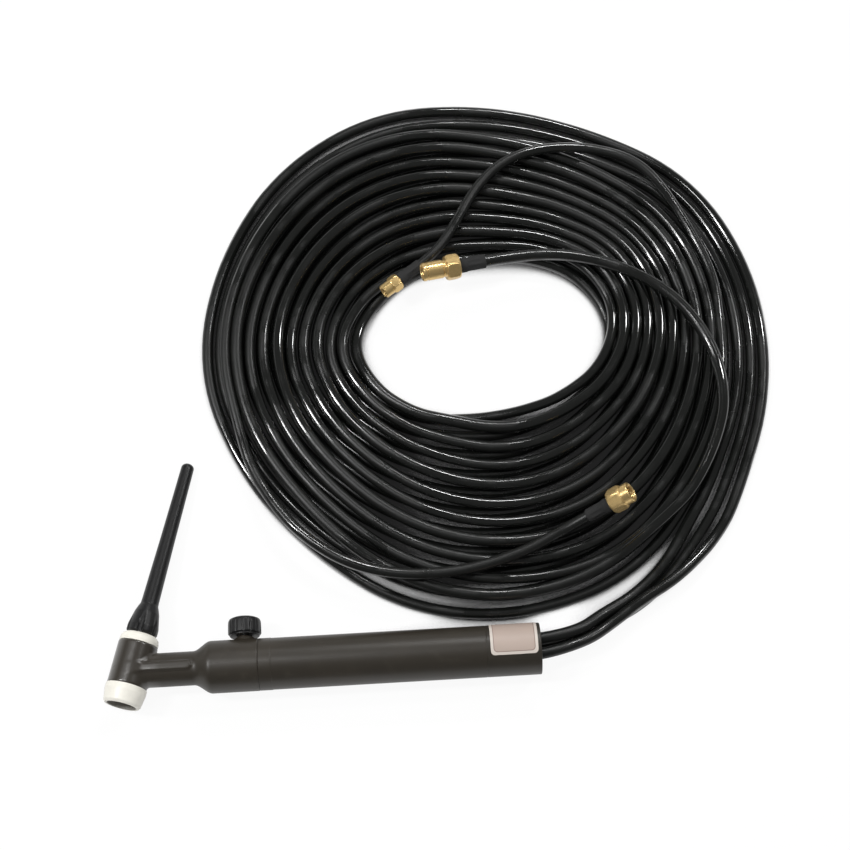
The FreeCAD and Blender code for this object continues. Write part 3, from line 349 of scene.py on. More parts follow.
def hose_finish(colours):
    """Glossy black extruded hose with patches of dull handling film along its length."""
    finish = Finish("hose_rubber", colours.hose, coat_roughness=0.07)
    patches = finish.noise(20, 3, 0.6).ramp(0.38, 0.58)
    film = finish.noise(70, 4, 0.6).ramp(0.5, 0.75)
    dust = finish.noise(1400, 3, 0.7).ramp(0.66, 0.8)
    ripple = finish.noise(26, 1)
    finish.feed(finish.shader, "Coat Weight", 1.0 - patches)
    return finish.surface(
        finish.toward(dust * 0.15 + film * 0.10, (0.035, 0.035, 0.033)), 0.08 + patches * 0.32 + film * 0.04,
        ripple + dust * 0.003, 0.0006)


def sleeve_finish():
    """Satin black sleeve with rubbed, slightly greyer spots."""
    finish = Finish("hose_sleeves", (0.009, 0.0095, 0.009))
    rubbed = finish.noise(420, 4, 0.65).ramp(0.5, 0.75)
    return finish.surface(
        finish.toward(rubbed * 0.5, (0.045, 0.044, 0.042)), 0.2 + rubbed * 0.2,
        finish.noise(1500) * 0.5 + rubbed * 0.5, 0.00004, 0.6)


def brass_finish(name, colour, place, roughness=0.34, wear=0.25):
    """Turned brass: rings of tool marks along the piece's own axis, with tarnish in patches."""
    finish = Finish(name, colour, metallic=0.8)
    _, _, along = finish.parts(finish.along(place))
    waver = finish.noise(500)
    rings = finish.tool_marks(along, 16000.0, waver * 5.0)
    tarnish = finish.noise(260, 5, 0.65).ramp(0.45, 0.72)
    scratches = finish.noise(1500, 4, 0.7, stretch=(1, 0.15, 1)).ramp(0.6, 0.75)
    return finish.surface(
        finish.shades(tarnish * wear + scratches * 0.15, 0.55),
        roughness * 0.8 + tarnish * 0.16 + rings * 0.06 + scratches * 0.1,
        rings * 0.5 + scratches * 0.4 + waver * 0.3, 0.00002, 0.35)


def steel_finish(name, colour=(0.55, 0.55, 0.54)):
    """Bright drawn metal with fine scratches."""
    finish = Finish(name, colour, metallic=1.0)
    scratches = finish.noise(1200, 4, 0.7, stretch=(0.2, 1, 1)).ramp(0.5, 0.75)
    cloud = finish.noise(200)
    return finish.surface(
        finish.shades(scratches * 0.3 + cloud * 0.2, 0.6), 0.22 + cloud * 0.14 + scratches * 0.1,
        scratches, 0.00003)


def seal_finish():
    """Matte black rubber."""
    finish = Finish("seal_rubber", (0.022, 0.022, 0.022))
    bloom = finish.noise(600, 4).ramp(0.5, 0.8)
    return finish.surface(
        finish.toward(bloom, (0.05, 0.05, 0.048)), 0.6 + bloom * 0.2, finish.noise(2400), 0.00004)


MARGIN_WIDTH, MARGIN_CORNER, LINE_HALF, LINE_FADE = 1.8, 2.2, 0.12, 0.28


def label_finish(colours, half_length, half_width):
    """Matte beige film with a paler edge and one thin line inside it, read on the label's own UV map."""
    finish = Finish("label_film", colours.label, coat=0.15, coat_roughness=0.4)
    u, v, _ = finish.parts(finish.add("ShaderNodeTexCoord", output="UV"))
    away = [((part - 0.5).size() * (2 * half) - (half - (MARGIN_WIDTH + MARGIN_CORNER) * MM)).most(0.0)
            for part, half in ((u, half_length), (v, half_width))]
    inside = distance(*away) - MARGIN_CORNER * MM
    margin = inside.ramp(-0.1 * MM, 0.1 * MM)
    line = inside.size().ramp(LINE_FADE * MM, LINE_HALF * MM)
    cloud = finish.noise(120, 4)
    edged = finish.mixed(margin * 0.8, finish.shades(cloud * 0.5, 0.86), (0.72, 0.66, 0.60))
    return finish.surface(
        finish.mixed(line * 0.85, edged, (0.20, 0.12, 0.10)), 0.42 + cloud * 0.12 + line * 0.05,
        finish.noise(2200) * 0.5 + cloud * 0.5, 0.00003, 0.4)


# Places of the torch's own parts

HANDLE_BOX = [Vector(corner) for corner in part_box("handle_tube")]
TORCH_PLACE = Vector((HANDLE_BOX[1].x - HANDLE_END * MM, (HANDLE_BOX[0].y + HANDLE_BOX[1].y) / 2, 0))
ROLL = -math.asin((AXIS_HEIGHT - CAP_TIP_RADIUS) / ((CAP_FACE + CAP_LENGTH) * math.sin(HEAD_ANGLE)))
TORCH = Matrix.Translation(TORCH_PLACE + Vector((0, 0, AXIS_HEIGHT * MM))) @ Matrix.Rotation(ROLL, 4, "X")


def own_frame(origin, x_way, y_way, z_way):
    """Matrix of a frame inside the torch's own; origin in millimetres."""
    turn = Matrix((x_way, y_way, z_way)).transposed().to_4x4()
    return TORCH @ Matrix.Translation(Vector(origin) * MM) @ turn


HEAD_WAY = Vector((math.cos(HEAD_ANGLE), math.sin(HEAD_ANGLE), 0))
HEAD = own_frame((0, 0, 0), (0, 0, 1), (HEAD_WAY.y, -HEAD_WAY.x, 0), HEAD_WAY)
HANDLE = own_frame((0, 0, 0), (0, 0, 1), (0, -1, 0), (1, 0, 0))
VALVE = own_frame((VALVE_PLACE, 0, 0), (0, 0, 1), (1, 0, 0), (0, 1, 0))


def floor_point(place):
    """Point measured in millimetres from the floor below the torch's bend."""
    return TORCH_PLACE + Vector(place) * MM


# Turned pieces: a profile spun round its axis by a node tree that also cuts flutes, flats and threads

NO_FLAT = 1.0  # metres, far outside every piece, so that nothing is cut there
TURNED_INPUTS = {
    "Steps Around": 96, "Flat Distance": NO_FLAT, "Sharp Angle": math.radians(38),
    "Flute Count": 12.0, "Flute Circle": NO_FLAT, "Flute Radius": 0.0,
    "Flute Start": 0.0, "Flute End": 0.0, "Flute Ease": 0.0005,
    "Thread Radius": NO_FLAT, "Thread Depth": 0.0, "Thread Pitch": 0.001,
    "Thread Start": 0.0, "Thread End": 0.0, "Material": None,
}
SOCKETS = {int: "NodeSocketInt", float: "NodeSocketFloat", type(None): "NodeSocketMaterial"}


def new_tree(name, inputs):
    """Nodes of a new tree, and the values of its inputs."""
    tree = bpy.data.node_groups.new(name, "GeometryNodeTree")
    tree.is_modifier = True
    tree.interface.new_socket(name="Geometry", in_out="INPUT", socket_type="NodeSocketGeometry")
    for label, default in inputs.items():
        socket = tree.interface.new_socket(name=label, in_out="INPUT", socket_type=SOCKETS[type(default)])
        if default is not None:
            socket.default_value = default
    tree.interface.new_socket(name="Geometry", in_out="OUTPUT", socket_type="NodeSocketGeometry")
    nodes = Nodes(tree)
    given = tree.nodes.new("NodeGroupInput")
    return nodes, {socket.name: Value(nodes, socket) for socket in given.outputs if socket.name}


def finish_tree(nodes, geometry, given):
    """Smooth faces with crisp edges, then the last two nodes of every tree."""
    smooth = nodes.add("GeometryNodeSetShadeSmooth", {"domain": "FACE"}, {"Geometry": geometry})
    edge = nodes.add("GeometryNodeInputMeshEdgeAngle")
    crisp = nodes.add("GeometryNodeSetShadeSmooth", {"domain": "EDGE"}, {
        "Geometry": smooth, "Selection": edge.above(given["Sharp Angle"]), "Shade Smooth": False})
    real = nodes.add("GeometryNodeRealizeInstances", None, {"Geometry": crisp})
    coated = nodes.add("GeometryNodeSetMaterial", None, {"Geometry": real, "Material": given["Material"]})
    nodes.feed(nodes.tree.nodes.new("NodeGroupOutput"), 0, coated)
    return nodes.tree


@cache
def turned_tree():
    """Spins a profile of (radius, 0, height) points round Z."""
    nodes, given = new_tree("turned_piece", TURNED_INPUTS)
    profile = given["Geometry"]
    count = nodes.add("GeometryNodeAttributeDomainSize", {"component": "MESH"}, {"Geometry": profile})
    grid = nodes.add("GeometryNodeMeshGrid", None, {
        "Vertices X": given["Steps Around"] + 1, "Vertices Y": count})
    u, v, _ = nodes.parts(nodes.other(grid, "UV Map"))
    sample = nodes.add("GeometryNodeSampleIndex", {"data_type": "FLOAT_VECTOR", "domain": "POINT"}, {
        "Geometry": profile, "Value": nodes.add("GeometryNodeInputPosition"),
        "Index": (v * (count - 1)).nearest()})
    radius, _, height = nodes.parts(sample)
    angle = u * TAU

    from_flat = (u * 6.0).fraction() * (TAU / 6) - TAU / 12
    flatted = radius.least(given["Flat Distance"] / from_flat.cosine())

    pitch = TAU / given["Flute Count"]
    aside = ((u * given["Flute Count"] + 0.5).fraction() - 0.5) * pitch
    circle, cutter = given["Flute Circle"], given["Flute Radius"]
    reach = cutter.squared() - (circle * aside.sine()).squared()
    cut = circle * aside.cosine() - reach.most(0.0).root() + reach.below(0.0) * NO_FLAT
    ease = given["Flute Ease"]
    between = ((height - given["Flute Start"]) / ease).kept() * ((given["Flute End"] - height) / ease).kept()
    fluted = flatted + (flatted.least(cut) - flatted) * between

    wave = ((height / given["Thread Pitch"] - u).fraction() - 0.5).size() * 2.0 - 0.5
    on_thread = ((radius - given["Thread Radius"]).size().below(0.4 * MM)
                 * height.above(given["Thread Start"]) * height.below(given["Thread End"]))
    threaded = fluted + wave * given["Thread Depth"] * on_thread

    place = nodes.add("ShaderNodeCombineXYZ", None, {
        0: threaded * angle.cosine(), 1: threaded * angle.sine(), 2: height})
    moved = nodes.add("GeometryNodeSetPosition", None, {"Geometry": grid, "Position": place})
    merged = nodes.add("GeometryNodeMergeByDistance", None, {"Geometry": moved, "Distance": 2e-7})
    return finish_tree(nodes, merged, given)


ROUND_STEPS, HELD_SHARE, LONGEST_SHARE = 5, 0.3, 0.45


def rounded(corners):
    """Profile points in metres. A corner is (radius, height) or (radius, height, rounding).

    Points just outside a rounding hold the straight runs flat, and it takes at most LONGEST_SHARE of a run.
    """
    points = []
    last = len(corners) - 1
    for index, corner in enumerate(corners):
        here = Vector(corner[:2])
        rounding = corner[2] if len(corner) == 3 else 0.0
        if rounding == 0.0 or index in (0, last):
            points.append(here)
            continue
        before, after = Vector(corners[index - 1][:2]) - here, Vector(corners[index + 1][:2]) - here
        half = before.angle(after) / 2
        back = min(rounding / math.tan(half), LONGEST_SHARE * before.length, LONGEST_SHARE * after.length)
        start, end = here + before.normalized() * back, here + after.normalized() * back
        hold = HELD_SHARE * back
        if before.length > 2 * (back + hold):
            points.append(start + before.normalized() * hold)
        for step in range(ROUND_STEPS + 1):
            share = step / ROUND_STEPS
            points.append(start * (1 - share) ** 2 + here * 2 * share * (1 - share) + end * share ** 2)
        if after.length > 2 * (back + hold):
            points.append(end + after.normalized() * hold)
    return [Vector((point.x * MM, 0, point.y * MM)) for point in points]


def thread_rows(radius, start, end, pitch, per_turn=8):
    """Closely spaced points along a threaded stretch, in millimetres."""
    count = max(2, int(abs(end - start) / pitch * per_turn))
    return [(radius, start + (end - start) * step / count) for step in range(count + 1)]


def outward(mesh):
    """Turns the mesh right side out."""
    shape = bmesh.new()
    shape.from_mesh(mesh)
    if shape.calc_volume(signed=True) < 0:
        bmesh.ops.reverse_faces(shape, faces=shape.faces)
    shape.to_mesh(mesh)
    shape.free()


def link(name, mesh, material=None):
    item = bpy.data.objects.new(name, mesh)
    bpy.context.scene.collection.objects.link(item)
    if material:
        mesh.materials.clear()
        mesh.materials.append(material)
    return item


def evaluated(item):
    """The item's mesh with its modifiers applied."""
    graph = bpy.context.evaluated_depsgraph_get()
    return bpy.data.meshes.new_from_object(item.evaluated_get(graph))


def baked(name, points, edges, tree, inputs, place, material):
    """Runs a node tree on a start mesh and keeps the result as a plain mesh where it belongs."""
    start = bpy.data.meshes.new(name + "_start")
    start.from_pydata(points, edges, [])
    source = link(name + "_source", start)
    modifier = source.modifiers.new(tree.name, "NODES")
    modifier.node_group = tree
    sockets = {item.name: item.identifier for item in tree.interface.items_tree
               if item.item_type == "SOCKET" and item.in_out == "INPUT"}
    for label, value in {**inputs, "Material": material}.items():
        modifier[sockets[label]] = value
    mesh = evaluated(source)
    mesh.name = name
    source.modifiers.remove(modifier)
    bpy.data.objects.remove(source)
    bpy.data.meshes.remove(start)
    mesh.transform(place)
    outward(mesh)
    return link(name, mesh, material)


def turned(name, corners, place, material, flutes=None, thread=None, **rule):
    """A turned piece. Its closed section, its flutes and its thread are in millimetres."""
    inputs = {label.replace("_", " ").title(): value for label, value in rule.items()}
    for kind, lengths in (("Flute ", flutes or {}), ("Thread ", thread or {})):
        inputs.update({kind + label.title(): value * MM for label, value in lengths.items()})
    points = rounded([*corners, corners[0]])
    edges = [(index, index + 1) for index in range(len(points) - 1)]
    return baked(name, points, edges, turned_tree(), inputs, place, material)


def ride(item, body, slot, *nodes):
    """Says what the piece moves with and hides the solids that it stands for. What it is made of, slot, is
    not used.
    """
    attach(item, body)
    if nodes:
        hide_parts(*nodes)
    return item


# Head, neck and valve housing: one moulding, drawn as a field of distances

MOULDING_INPUTS = {
    "Barrel Radius": 0.0116, "Neck Radius": 0.0098, "Housing Radius": 0.0151, "Barrel Blend": 0.0016,
    "Cell": 0.0004, "Sharp Angle": math.radians(70), "Material": None,
}
FIELD_LOW, FIELD_HIGH = (-0.0155, -0.0165, -0.0165), (0.0755, 0.0205, 0.0165)
NECK_END, HOUSING_START, HOUSING_END = 36.2, 46.8, 74.0
HOUSING_FLOOR, HOUSING_BORE = 53.0, 11.2
COLLAR_START, SPIGOT_RADIUS, SPIGOT_END = 66.0, 12.1, 88.0
RIB_HALF_WIDTH, RIB_HEIGHT, RIB_END = 2.8, 0.9, 33.0
TOWER_RADIUS = 4.4
BOSS_RADIUS, BOSS_START, BOSS_TOP = 5.6, 12.0, 16.2


def joined_with(first, second, blend):
    """Union of two fields with a rounded hollow, blend metres wide, between them."""
    share = (0.5 + 0.5 * (second - first) / blend).kept()
    return second + (first - second) * share - blend * share * (1.0 - share)


def trimmed_by(first, second, blend):
    """What both fields hold, with a rounded edge."""
    return -joined_with(-first, -second, blend)


def moulding_tree():
    nodes, given = new_tree("torch_moulding", MOULDING_INPUTS)
    neck, housing = given["Neck Radius"], given["Housing Radius"]
    x, y, z = nodes.parts(nodes.add("GeometryNodeInputPosition"))
    from_axis = distance(y, z)

    radius = neck + (housing - neck) * x.ramp(NECK_END * MM, HOUSING_START * MM)
    lean = ((x - 0.5 * (NECK_END + HOUSING_START) * MM) / (0.5 * (HOUSING_START - NECK_END) * MM)).size()
    slope = 1.0 / (1.0 + (1.0 - lean.squared()).most(0.0) * 0.5).root()
    run = trimmed_by((from_axis - radius) * slope, x - HOUSING_END * MM, 0.0005).most(-x)

    along = x * HEAD_WAY.x + y * HEAD_WAY.y
    from_head = distance(x - along * HEAD_WAY.x, y - along * HEAD_WAY.y, z)
    ends = (along - BARREL_TOP * MM).most(BARREL_BOTTOM * MM - along)
    barrel = trimmed_by(from_head - given["Barrel Radius"], ends, 0.0011)

    rib_side = distance((x - RIB_END * MM).most(0.0), y) - RIB_HALF_WIDTH * MM
    rib = trimmed_by(rib_side, z - neck - RIB_HEIGHT * MM, 0.0016).most(-z).most(-x)

    from_valve = distance(x - VALVE_PLACE * MM, z)
    boss = trimmed_by(from_valve - BOSS_RADIUS * MM, y - BOSS_TOP * MM, 0.0007).most(BOSS_START * MM - y)

    solid = joined_with(joined_with(run, rib, 0.0008), barrel, given["Barrel Blend"])
    solid = joined_with(solid, boss, 0.0012)
    solid = trimmed_by(solid, CORE_RADIUS * MM - from_head, 0.0004)
    hollow = (from_axis - HOUSING_BORE * MM).most(HOUSING_FLOOR * MM - x)
    tower_hole = (from_valve - TOWER_RADIUS * MM).most(-y)
    solid = trimmed_by(solid.most(-hollow), -tower_hole, 0.0005)

    steps = {"Resolution " + axis: (high - low) / given["Cell"]
             for axis, low, high in zip("XYZ", FIELD_LOW, FIELD_HIGH)}
    volume = nodes.add("GeometryNodeVolumeCube", None, {
        "Density": -solid, "Background": -1.0, "Min": FIELD_LOW, "Max": FIELD_HIGH, **steps})
    shell = nodes.add("GeometryNodeVolumeToMesh", None, {"Volume": volume, "Threshold": 0.0})
    return finish_tree(nodes, shell, given)


def make_moulding(sizes, colours):
    material = moulding_finish(colours)
    body = baked("torch_body", [(0, 0, 0)], [], moulding_tree(), {
        "Barrel Radius": sizes.barrel_radius, "Neck Radius": sizes.neck_radius,
        "Housing Radius": sizes.housing_radius, "Barrel Blend": sizes.barrel_blend}, TORCH, material)
    collar = turned("torch_collar", [
        (HOUSING_BORE, COLLAR_START), (SPIGOT_RADIUS, COLLAR_START), (SPIGOT_RADIUS, SPIGOT_END, 0.2),
        (HOUSING_BORE, SPIGOT_END, 0.2)], HANDLE, material)
    ride(body, "torch", "body_moulding", "moulded_body")
    ride(collar, "torch", "body_moulding")


# Handle with its smooth front band, its seam and the bare label

HANDLE_WALL, HANDLE_GAP = 2.9, 0.05
SEAM_PLACE, SEAM_DEPTH = 204.8, 0.16
BAND_LENGTH, BAND_DEPTH = 7.0, 0.15
LABEL_LENGTH, LABEL_REAR, LABEL_THICKNESS, LABEL_CORNER = 27.2, 2.0, 0.21, 2.4
LABEL_FROM, LABEL_TO = math.radians(-92), math.radians(24)
LABEL_COLUMNS, LABEL_ROWS = 48, 60


def make_handle(sizes):
    outer = sizes.handle_radius / MM
    grip = outer - BAND_DEPTH
    bore = outer - HANDLE_WALL
    front = HOUSING_END + HANDLE_GAP
    handle = turned("handle", [
        (bore, front), (outer, front, 0.25), (outer, front + BAND_LENGTH, 0.3),
        (grip, front + BAND_LENGTH + 0.3, 0.15), (grip, 120), (grip, 160),
        (grip, SEAM_PLACE - 0.25, 0.1), (grip - SEAM_DEPTH, SEAM_PLACE - 0.1, 0.05),
        (grip - SEAM_DEPTH, SEAM_PLACE + 0.1, 0.05), (grip, SEAM_PLACE + 0.25, 0.1),
        (grip, 225), (grip, HANDLE_END, 0.7), (bore, HANDLE_END, 0.5), (bore, 200), (bore, 140)],
        HANDLE, bpy.data.materials["torch_moulding"], steps_around=144)
    ride(handle, "torch", "handle_plastic", "handle_tube")


def corner_mapped(across, up, half_across, half_up, corner):
    """Pulls the corners of a rectangle in to quarter circles."""
    u, v = abs(across) - (half_across - corner), abs(up) - (half_up - corner)
    if u <= 0 or v <= 0:
        return across, up
    pulled_u = u * math.sqrt(1 - v * v / (2 * corner ** 2))
    pulled_v = v * math.sqrt(1 - u * u / (2 * corner ** 2))
    return (math.copysign(half_across - corner + pulled_u, across),
            math.copysign(half_up - corner + pulled_v, up))


def make_label(sizes, colours):
    """A thin film with rounded corners that lies round the handle."""
    radius = sizes.handle_radius / MM - BAND_DEPTH + 0.02
    half_length = LABEL_LENGTH / 2
    half_width = radius * (LABEL_TO - LABEL_FROM) / 2
    middle = (LABEL_FROM + LABEL_TO) / 2
    flat = [corner_mapped(half_length * (2 * column / LABEL_COLUMNS - 1),
                          half_width * (2 * row / LABEL_ROWS - 1), half_length, half_width, LABEL_CORNER)
            for column in range(LABEL_COLUMNS + 1) for row in range(LABEL_ROWS + 1)]
    points = [Vector((radius * math.cos(middle + around / radius),
                      radius * math.sin(middle + around / radius),
                      HANDLE_END - LABEL_REAR - half_length + along)) * MM for along, around in flat]
    high = LABEL_ROWS + 1
    faces = [(first, first + 1, first + high + 1, first + high)
             for column in range(LABEL_COLUMNS) for first in range(column * high, column * high + LABEL_ROWS)]
    mesh = bpy.data.meshes.new("bare_label")
    mesh.from_pydata(points, [], faces)
    uv = mesh.uv_layers.new(name="UVMap")
    for loop in mesh.loops:
        along, around = flat[loop.vertex_index]
        uv.data[loop.index].uv = (along / half_length / 2 + 0.5, around / half_width / 2 + 0.5)
    label = link("bare_label", mesh, label_finish(colours, half_length * MM, half_width * MM))
    thick = label.modifiers.new("Thickness", "SOLIDIFY")
    thick.thickness = LABEL_THICKNESS * MM
    thick.offset = 1.0
    solid = evaluated(label)
    label.modifiers.remove(thick)
    label.data = solid
    solid.transform(HANDLE)
    outward(solid)
    solid.shade_smooth()
    solid.set_sharp_from_angle(angle=math.radians(40))
    ride(label, "torch", "label_film", "handle_label")


# Two insulator rings, the brass core, the back cap and the knob

CUP_RING_LENGTH, CUP_RING_INNER_END, CAP_RING_RADIUS, CAP_RING_LENGTH = 11.2, -14.5, 11.4, 5.4
CAP_STUB_ROOT, CAP_THREAD_LENGTH, CAP_BORE, GROOVE_RADIUS = -1.8, 9.0, 2.2, 4.2
STEM_RADIUS = 1.9


def make_rings(sizes, colours):
    material = ring_finish(colours)
    rim = sizes.barrel_radius / MM + 0.4
    top, end = BARREL_BOTTOM, BARREL_BOTTOM - CUP_RING_LENGTH
    cup = turned("cup_ring_ivory", [
        (CORE_RADIUS, top), (rim, top, 0.35), (rim, top - 3.4, 0.5), (11.3, end + 3.4, 0.5),
        (11.0, end + 1.3, 0.6), (10.1, end, 0.4), (8.6, end, 0.35), (8.6, CUP_RING_INNER_END, 0.15),
        (CORE_RADIUS, CUP_RING_INNER_END)], HEAD, material, steps_around=144)
    ride(cup, "torch", "white_rings", "cup_ring")
    base = BARREL_TOP
    cap = turned("cap_ring_ivory", [
        (CORE_RADIUS, base), (CAP_RING_RADIUS, base, 0.3), (CAP_RING_RADIUS, base + 2.0, 0.8),
        (10.9, base + 4.0, 1.0), (9.4, base + CAP_RING_LENGTH, 0.4),
        (CORE_RADIUS, base + CAP_RING_LENGTH)], HEAD, material, steps_around=144)
    ride(cap, "torch", "white_rings", "cap_ring")


def make_back_cap(sizes, colours):
    rim = sizes.cap_rim_radius / MM
    place = HEAD @ Matrix.Translation((0, 0, CAP_FACE * MM))
    bottom = CAP_STUB_ROOT - CAP_THREAD_LENGTH
    groove_top, groove_bottom = CAP_STUB_ROOT - 0.3, CAP_STUB_ROOT - 2.0
    stub = thread_rows(CAP_THREAD_RADIUS, bottom + 0.5, groove_bottom, CAP_PITCH)
    tip = [(CAP_TIP_RADIUS * math.cos(turn), CAP_LENGTH - CAP_TIP_RADIUS * 0.8 * (1 - math.sin(turn)))
           for turn in [math.pi / 2 * step / 10 for step in range(10)]]
    cap = turned("back_cap_black", [
        (CAP_BORE, bottom), (CAP_THREAD_RADIUS - 0.5, bottom), *stub,
        (GROOVE_RADIUS, groove_bottom), (GROOVE_RADIUS, groove_top), (CAP_THREAD_RADIUS, groove_top),
        (CAP_THREAD_RADIUS, 0), (rim - 1.2, 0, 0.4), (rim, 1.3, 0.8), (rim, 2.6), (rim, 3.6),
        (rim - 0.05, 4.8, 1.0), (rim - 0.6, 7.4), (rim - 1.2, 10.2), (rim - 1.85, 13.2, 1.6), (6.3, 15.9),
        (5.25, 18.4, 1.8), (5.1, 21), (4.97, 27.6), (4.8, 37.6), (4.6, 47.6), (4.4, 57.6), (4.28, 67.6),
        (4.15, 77.6), (4.0, 87.6), (3.9, 97.6), *tip,
        (0, CAP_LENGTH), (0, CAP_LENGTH - 5), (CAP_BORE, CAP_LENGTH - 5, 0.2)],
        place, cap_finish("cap_plastic", colours, place), steps_around=192,
        flute_count=float(sizes.cap_flutes),
        flutes=dict(circle=rim + 0.8, radius=2.0, start=-0.2, end=14.0, ease=0.6),
        thread=dict(radius=CAP_THREAD_RADIUS - 0.1, depth=0.3, pitch=CAP_PITCH,
                    start=bottom + 0.6, end=groove_bottom - 0.1))
    ride(cap, "back_cap", "cap_plastic", "back_cap")


def make_knob(sizes, colours):
    radius = sizes.knob_radius / MM
    place = VALVE @ Matrix.Translation((0, 0, KNOB_BOTTOM * MM))
    crown = [(2.0 * step, 11.4 - 0.8 * (2.0 * step / 7.1) ** 2) for step in (3, 2, 1)]
    knob = turned("valve_knob_black", [
        (STEM_RADIUS, 0), (8.6, 0, 0.3), (8.6, 0.8, 0.2), (radius - 0.3, 1.2, 0.3), (radius, 1.7, 0.4),
        (radius, 4.0), (radius - 0.05, 6.6), (radius - 0.15, 8.6, 0.8), (radius - 0.7, 9.9, 0.8),
        (radius - 2.4, 10.7, 0.9), *crown, (0, 11.4), (0, 6.5), (STEM_RADIUS, 6.5, 0.1)],
        place, cap_finish("knob_plastic", colours, place), steps_around=224,
        flute_count=float(sizes.knob_flutes),
        flutes=dict(circle=radius + 0.98, radius=1.3, start=0.6, end=11.2, ease=0.6))
    ride(knob, "valve_knob", "knob_plastic", "valve_knob")


def make_core(colours):
    material = brass_finish("brass_parts", shaded(colours.brass, 0.4), HEAD, 0.5, 0.7)
    nose, top, bore_end, passage_end = -15.0, 20.6, 18.4, 10.1
    collet_start, collet_end = nose + 1.0, nose + 12.5
    collet = thread_rows(COLLET_RADIUS, collet_start, collet_end, COLLET_PITCH)
    cap_bore = thread_rows(CAP_BORE_RADIUS, 10.6, 18.2, CAP_PITCH)
    core = turned("head_core_brass", [
        (4.9, nose), (7.5, nose, 0.2), (CORE_RADIUS, nose + 0.5, 0.1), (CORE_RADIUS, 0),
        (CORE_RADIUS, top, 0.2), (5.9, top, 0.1), (5.9, bore_end), (CAP_BORE_RADIUS, bore_end),
        *cap_bore[::-1], (CAP_BORE_RADIUS, passage_end), (3.0, passage_end), (3.0, nose + 13.0),
        (COLLET_RADIUS, nose + 13.0), *collet[::-1], (COLLET_RADIUS, nose + 0.6)],
        HEAD, material, steps_around=96,
        thread=dict(radius=COLLET_RADIUS, depth=0.35, pitch=COLLET_PITCH, start=collet_start, end=collet_end))
    ride(core, "torch", "brass_parts", "head_core")


# Hoses and their brass ends

TUBE_CIRCLE = 5.3
IN_HANDLE = ((0.0, 0.0), (26.0, 0.0), (53.0, -30.0), (83.0, -60.0), (113.0, -90.0), (144.0, -120.0))
COIL_MIDDLE = Vector((213.0, 187.0, 0.0))
COIL_START, COIL_STEPS, LOOPS = -35.0, 12.0, 7
LAYER_RISE, CLIMB, SETTLING = 7.7, 120.0, 60.0
LOWER_RING, UPPER_RING, INNER_RING = (169.0, 168.0, -7.0), (167.0, 166.0, -5.0), (79.0, 52.0, 4.0)
LEAD_JOIN, TAIL_JOIN = 27.0, 20.0
POINTS_PER_TURN = 15
PULL_OUT = 1.0 / math.cos(math.pi / POINTS_PER_TURN)
STEPS_PER_POINT = 9
SWELL_SPACING = 20.0
OUTER_SWELLS = (-0.8, 2.8, 1.8, -6.4, -4.8, 5.2, 9.4, 8.9, 5.3,
                5.2, -0.5, -4.9, 2.8, 10.3, 11.4, 13.8, 5.0, -2.2)
INNER_SWELLS = (-2.0, 4.0, 5.0, 1.0, -3.5, -5.0, -5.0, -4.5, -4.5,
                -3.0, -5.5, -4.5, -8.0, -9.0, -6.5, -6.0, -5.5, -3.5)

HOSES = {
    "water": dict(
        turn=270.0, first_step=-0.7, end_turn=200.0, length=6.105,
        lead=((262, 2.6, 14.5), (276.2, 10.9, 10.5), (296.5, 25.1, 9.9), (321, 38.8, 9.2)),
        tail=((86, 93.5, 15.3), (102, 73, 19.2), (128.5, 54.5, 19.2), (160, 46.5, 19.2), (195, 47, 19.2),
              (228, 55.5, 19.2), (247.4, 64.6, 19.2), (262.4, 72.1, 19.3), (279.5, 78.7, 30)),
        nut=dict(corner=7.6, hexagon=9.0, barrel=6.2, length=14.0, thread=4.6)),
    "gas": dict(
        turn=30.0, first_step=0.26, end_turn=9.0, length=5.599,
        lead=((262, 5.5, 8.3), (275.7, 13.7, 4.2), (298.2, 24.1, 3.3), (319.2, 42.8, 3.3)),
        tail=((347.6, 252.7, 11), (334, 278.5, 14.8), (318, 298, 18.9), (291, 308.5, 19), (260, 310.5, 19),
              (235, 303, 19), (218, 287.5, 19), (206.5, 269, 19.2), (196.5, 253, 19.4), (185.8, 241.2, 20.1),
              (169.5, 229.5, 20.7)),
        nut=dict(corner=5.4, hexagon=6.0, barrel=4.3, length=12.0, thread=3.3)),
    "power": dict(
        turn=150.0, first_step=1.27, end_turn=-45.0, length=5.409,
        lead=((260, 9.5, 14.5), (272.9, 18.4, 8.5), (294.5, 29.8, 4), (315, 48.2, 3.9)),
        tail=((349.7, 118.4, 16.4), (357.4, 145.2, 19.7), (351.8, 179.7, 19.6), (331, 211.5, 19.6),
              (298.5, 231.5, 19.6), (263, 240.3, 20.2), (232, 238.3, 22), (206.5, 233.6, 25.6)),
        nut=dict(corner=8.2, hexagon=8.4, barrel=5.6, length=23.0, thread=4.3)),
}


def ring_radius(turn, half_x, half_y, shift):
    """Distance from the coil's middle to an ellipse that lies shift behind it."""
    across, up = math.cos(turn) / half_x, math.sin(turn) / half_y
    square = across ** 2 + up ** 2
    lean = shift * up / half_y
    return (lean + math.sqrt(lean ** 2 - square * ((shift / half_y) ** 2 - 1))) / square


def swell(turn, heights):
    """How much a loop stands out in one direction, in millimetres, eased between evenly spaced heights."""
    place = math.degrees(turn) / SWELL_SPACING % len(heights)
    index = int(place)
    share = place - index
    before, start, end, after = (heights[(index + step) % len(heights)] for step in (-1, 0, 1, 2))
    return start + 0.5 * share * (end - before + share * (
        2 * before - 5 * start + 4 * end - after + share * (3 * (start - end) + after - before)))


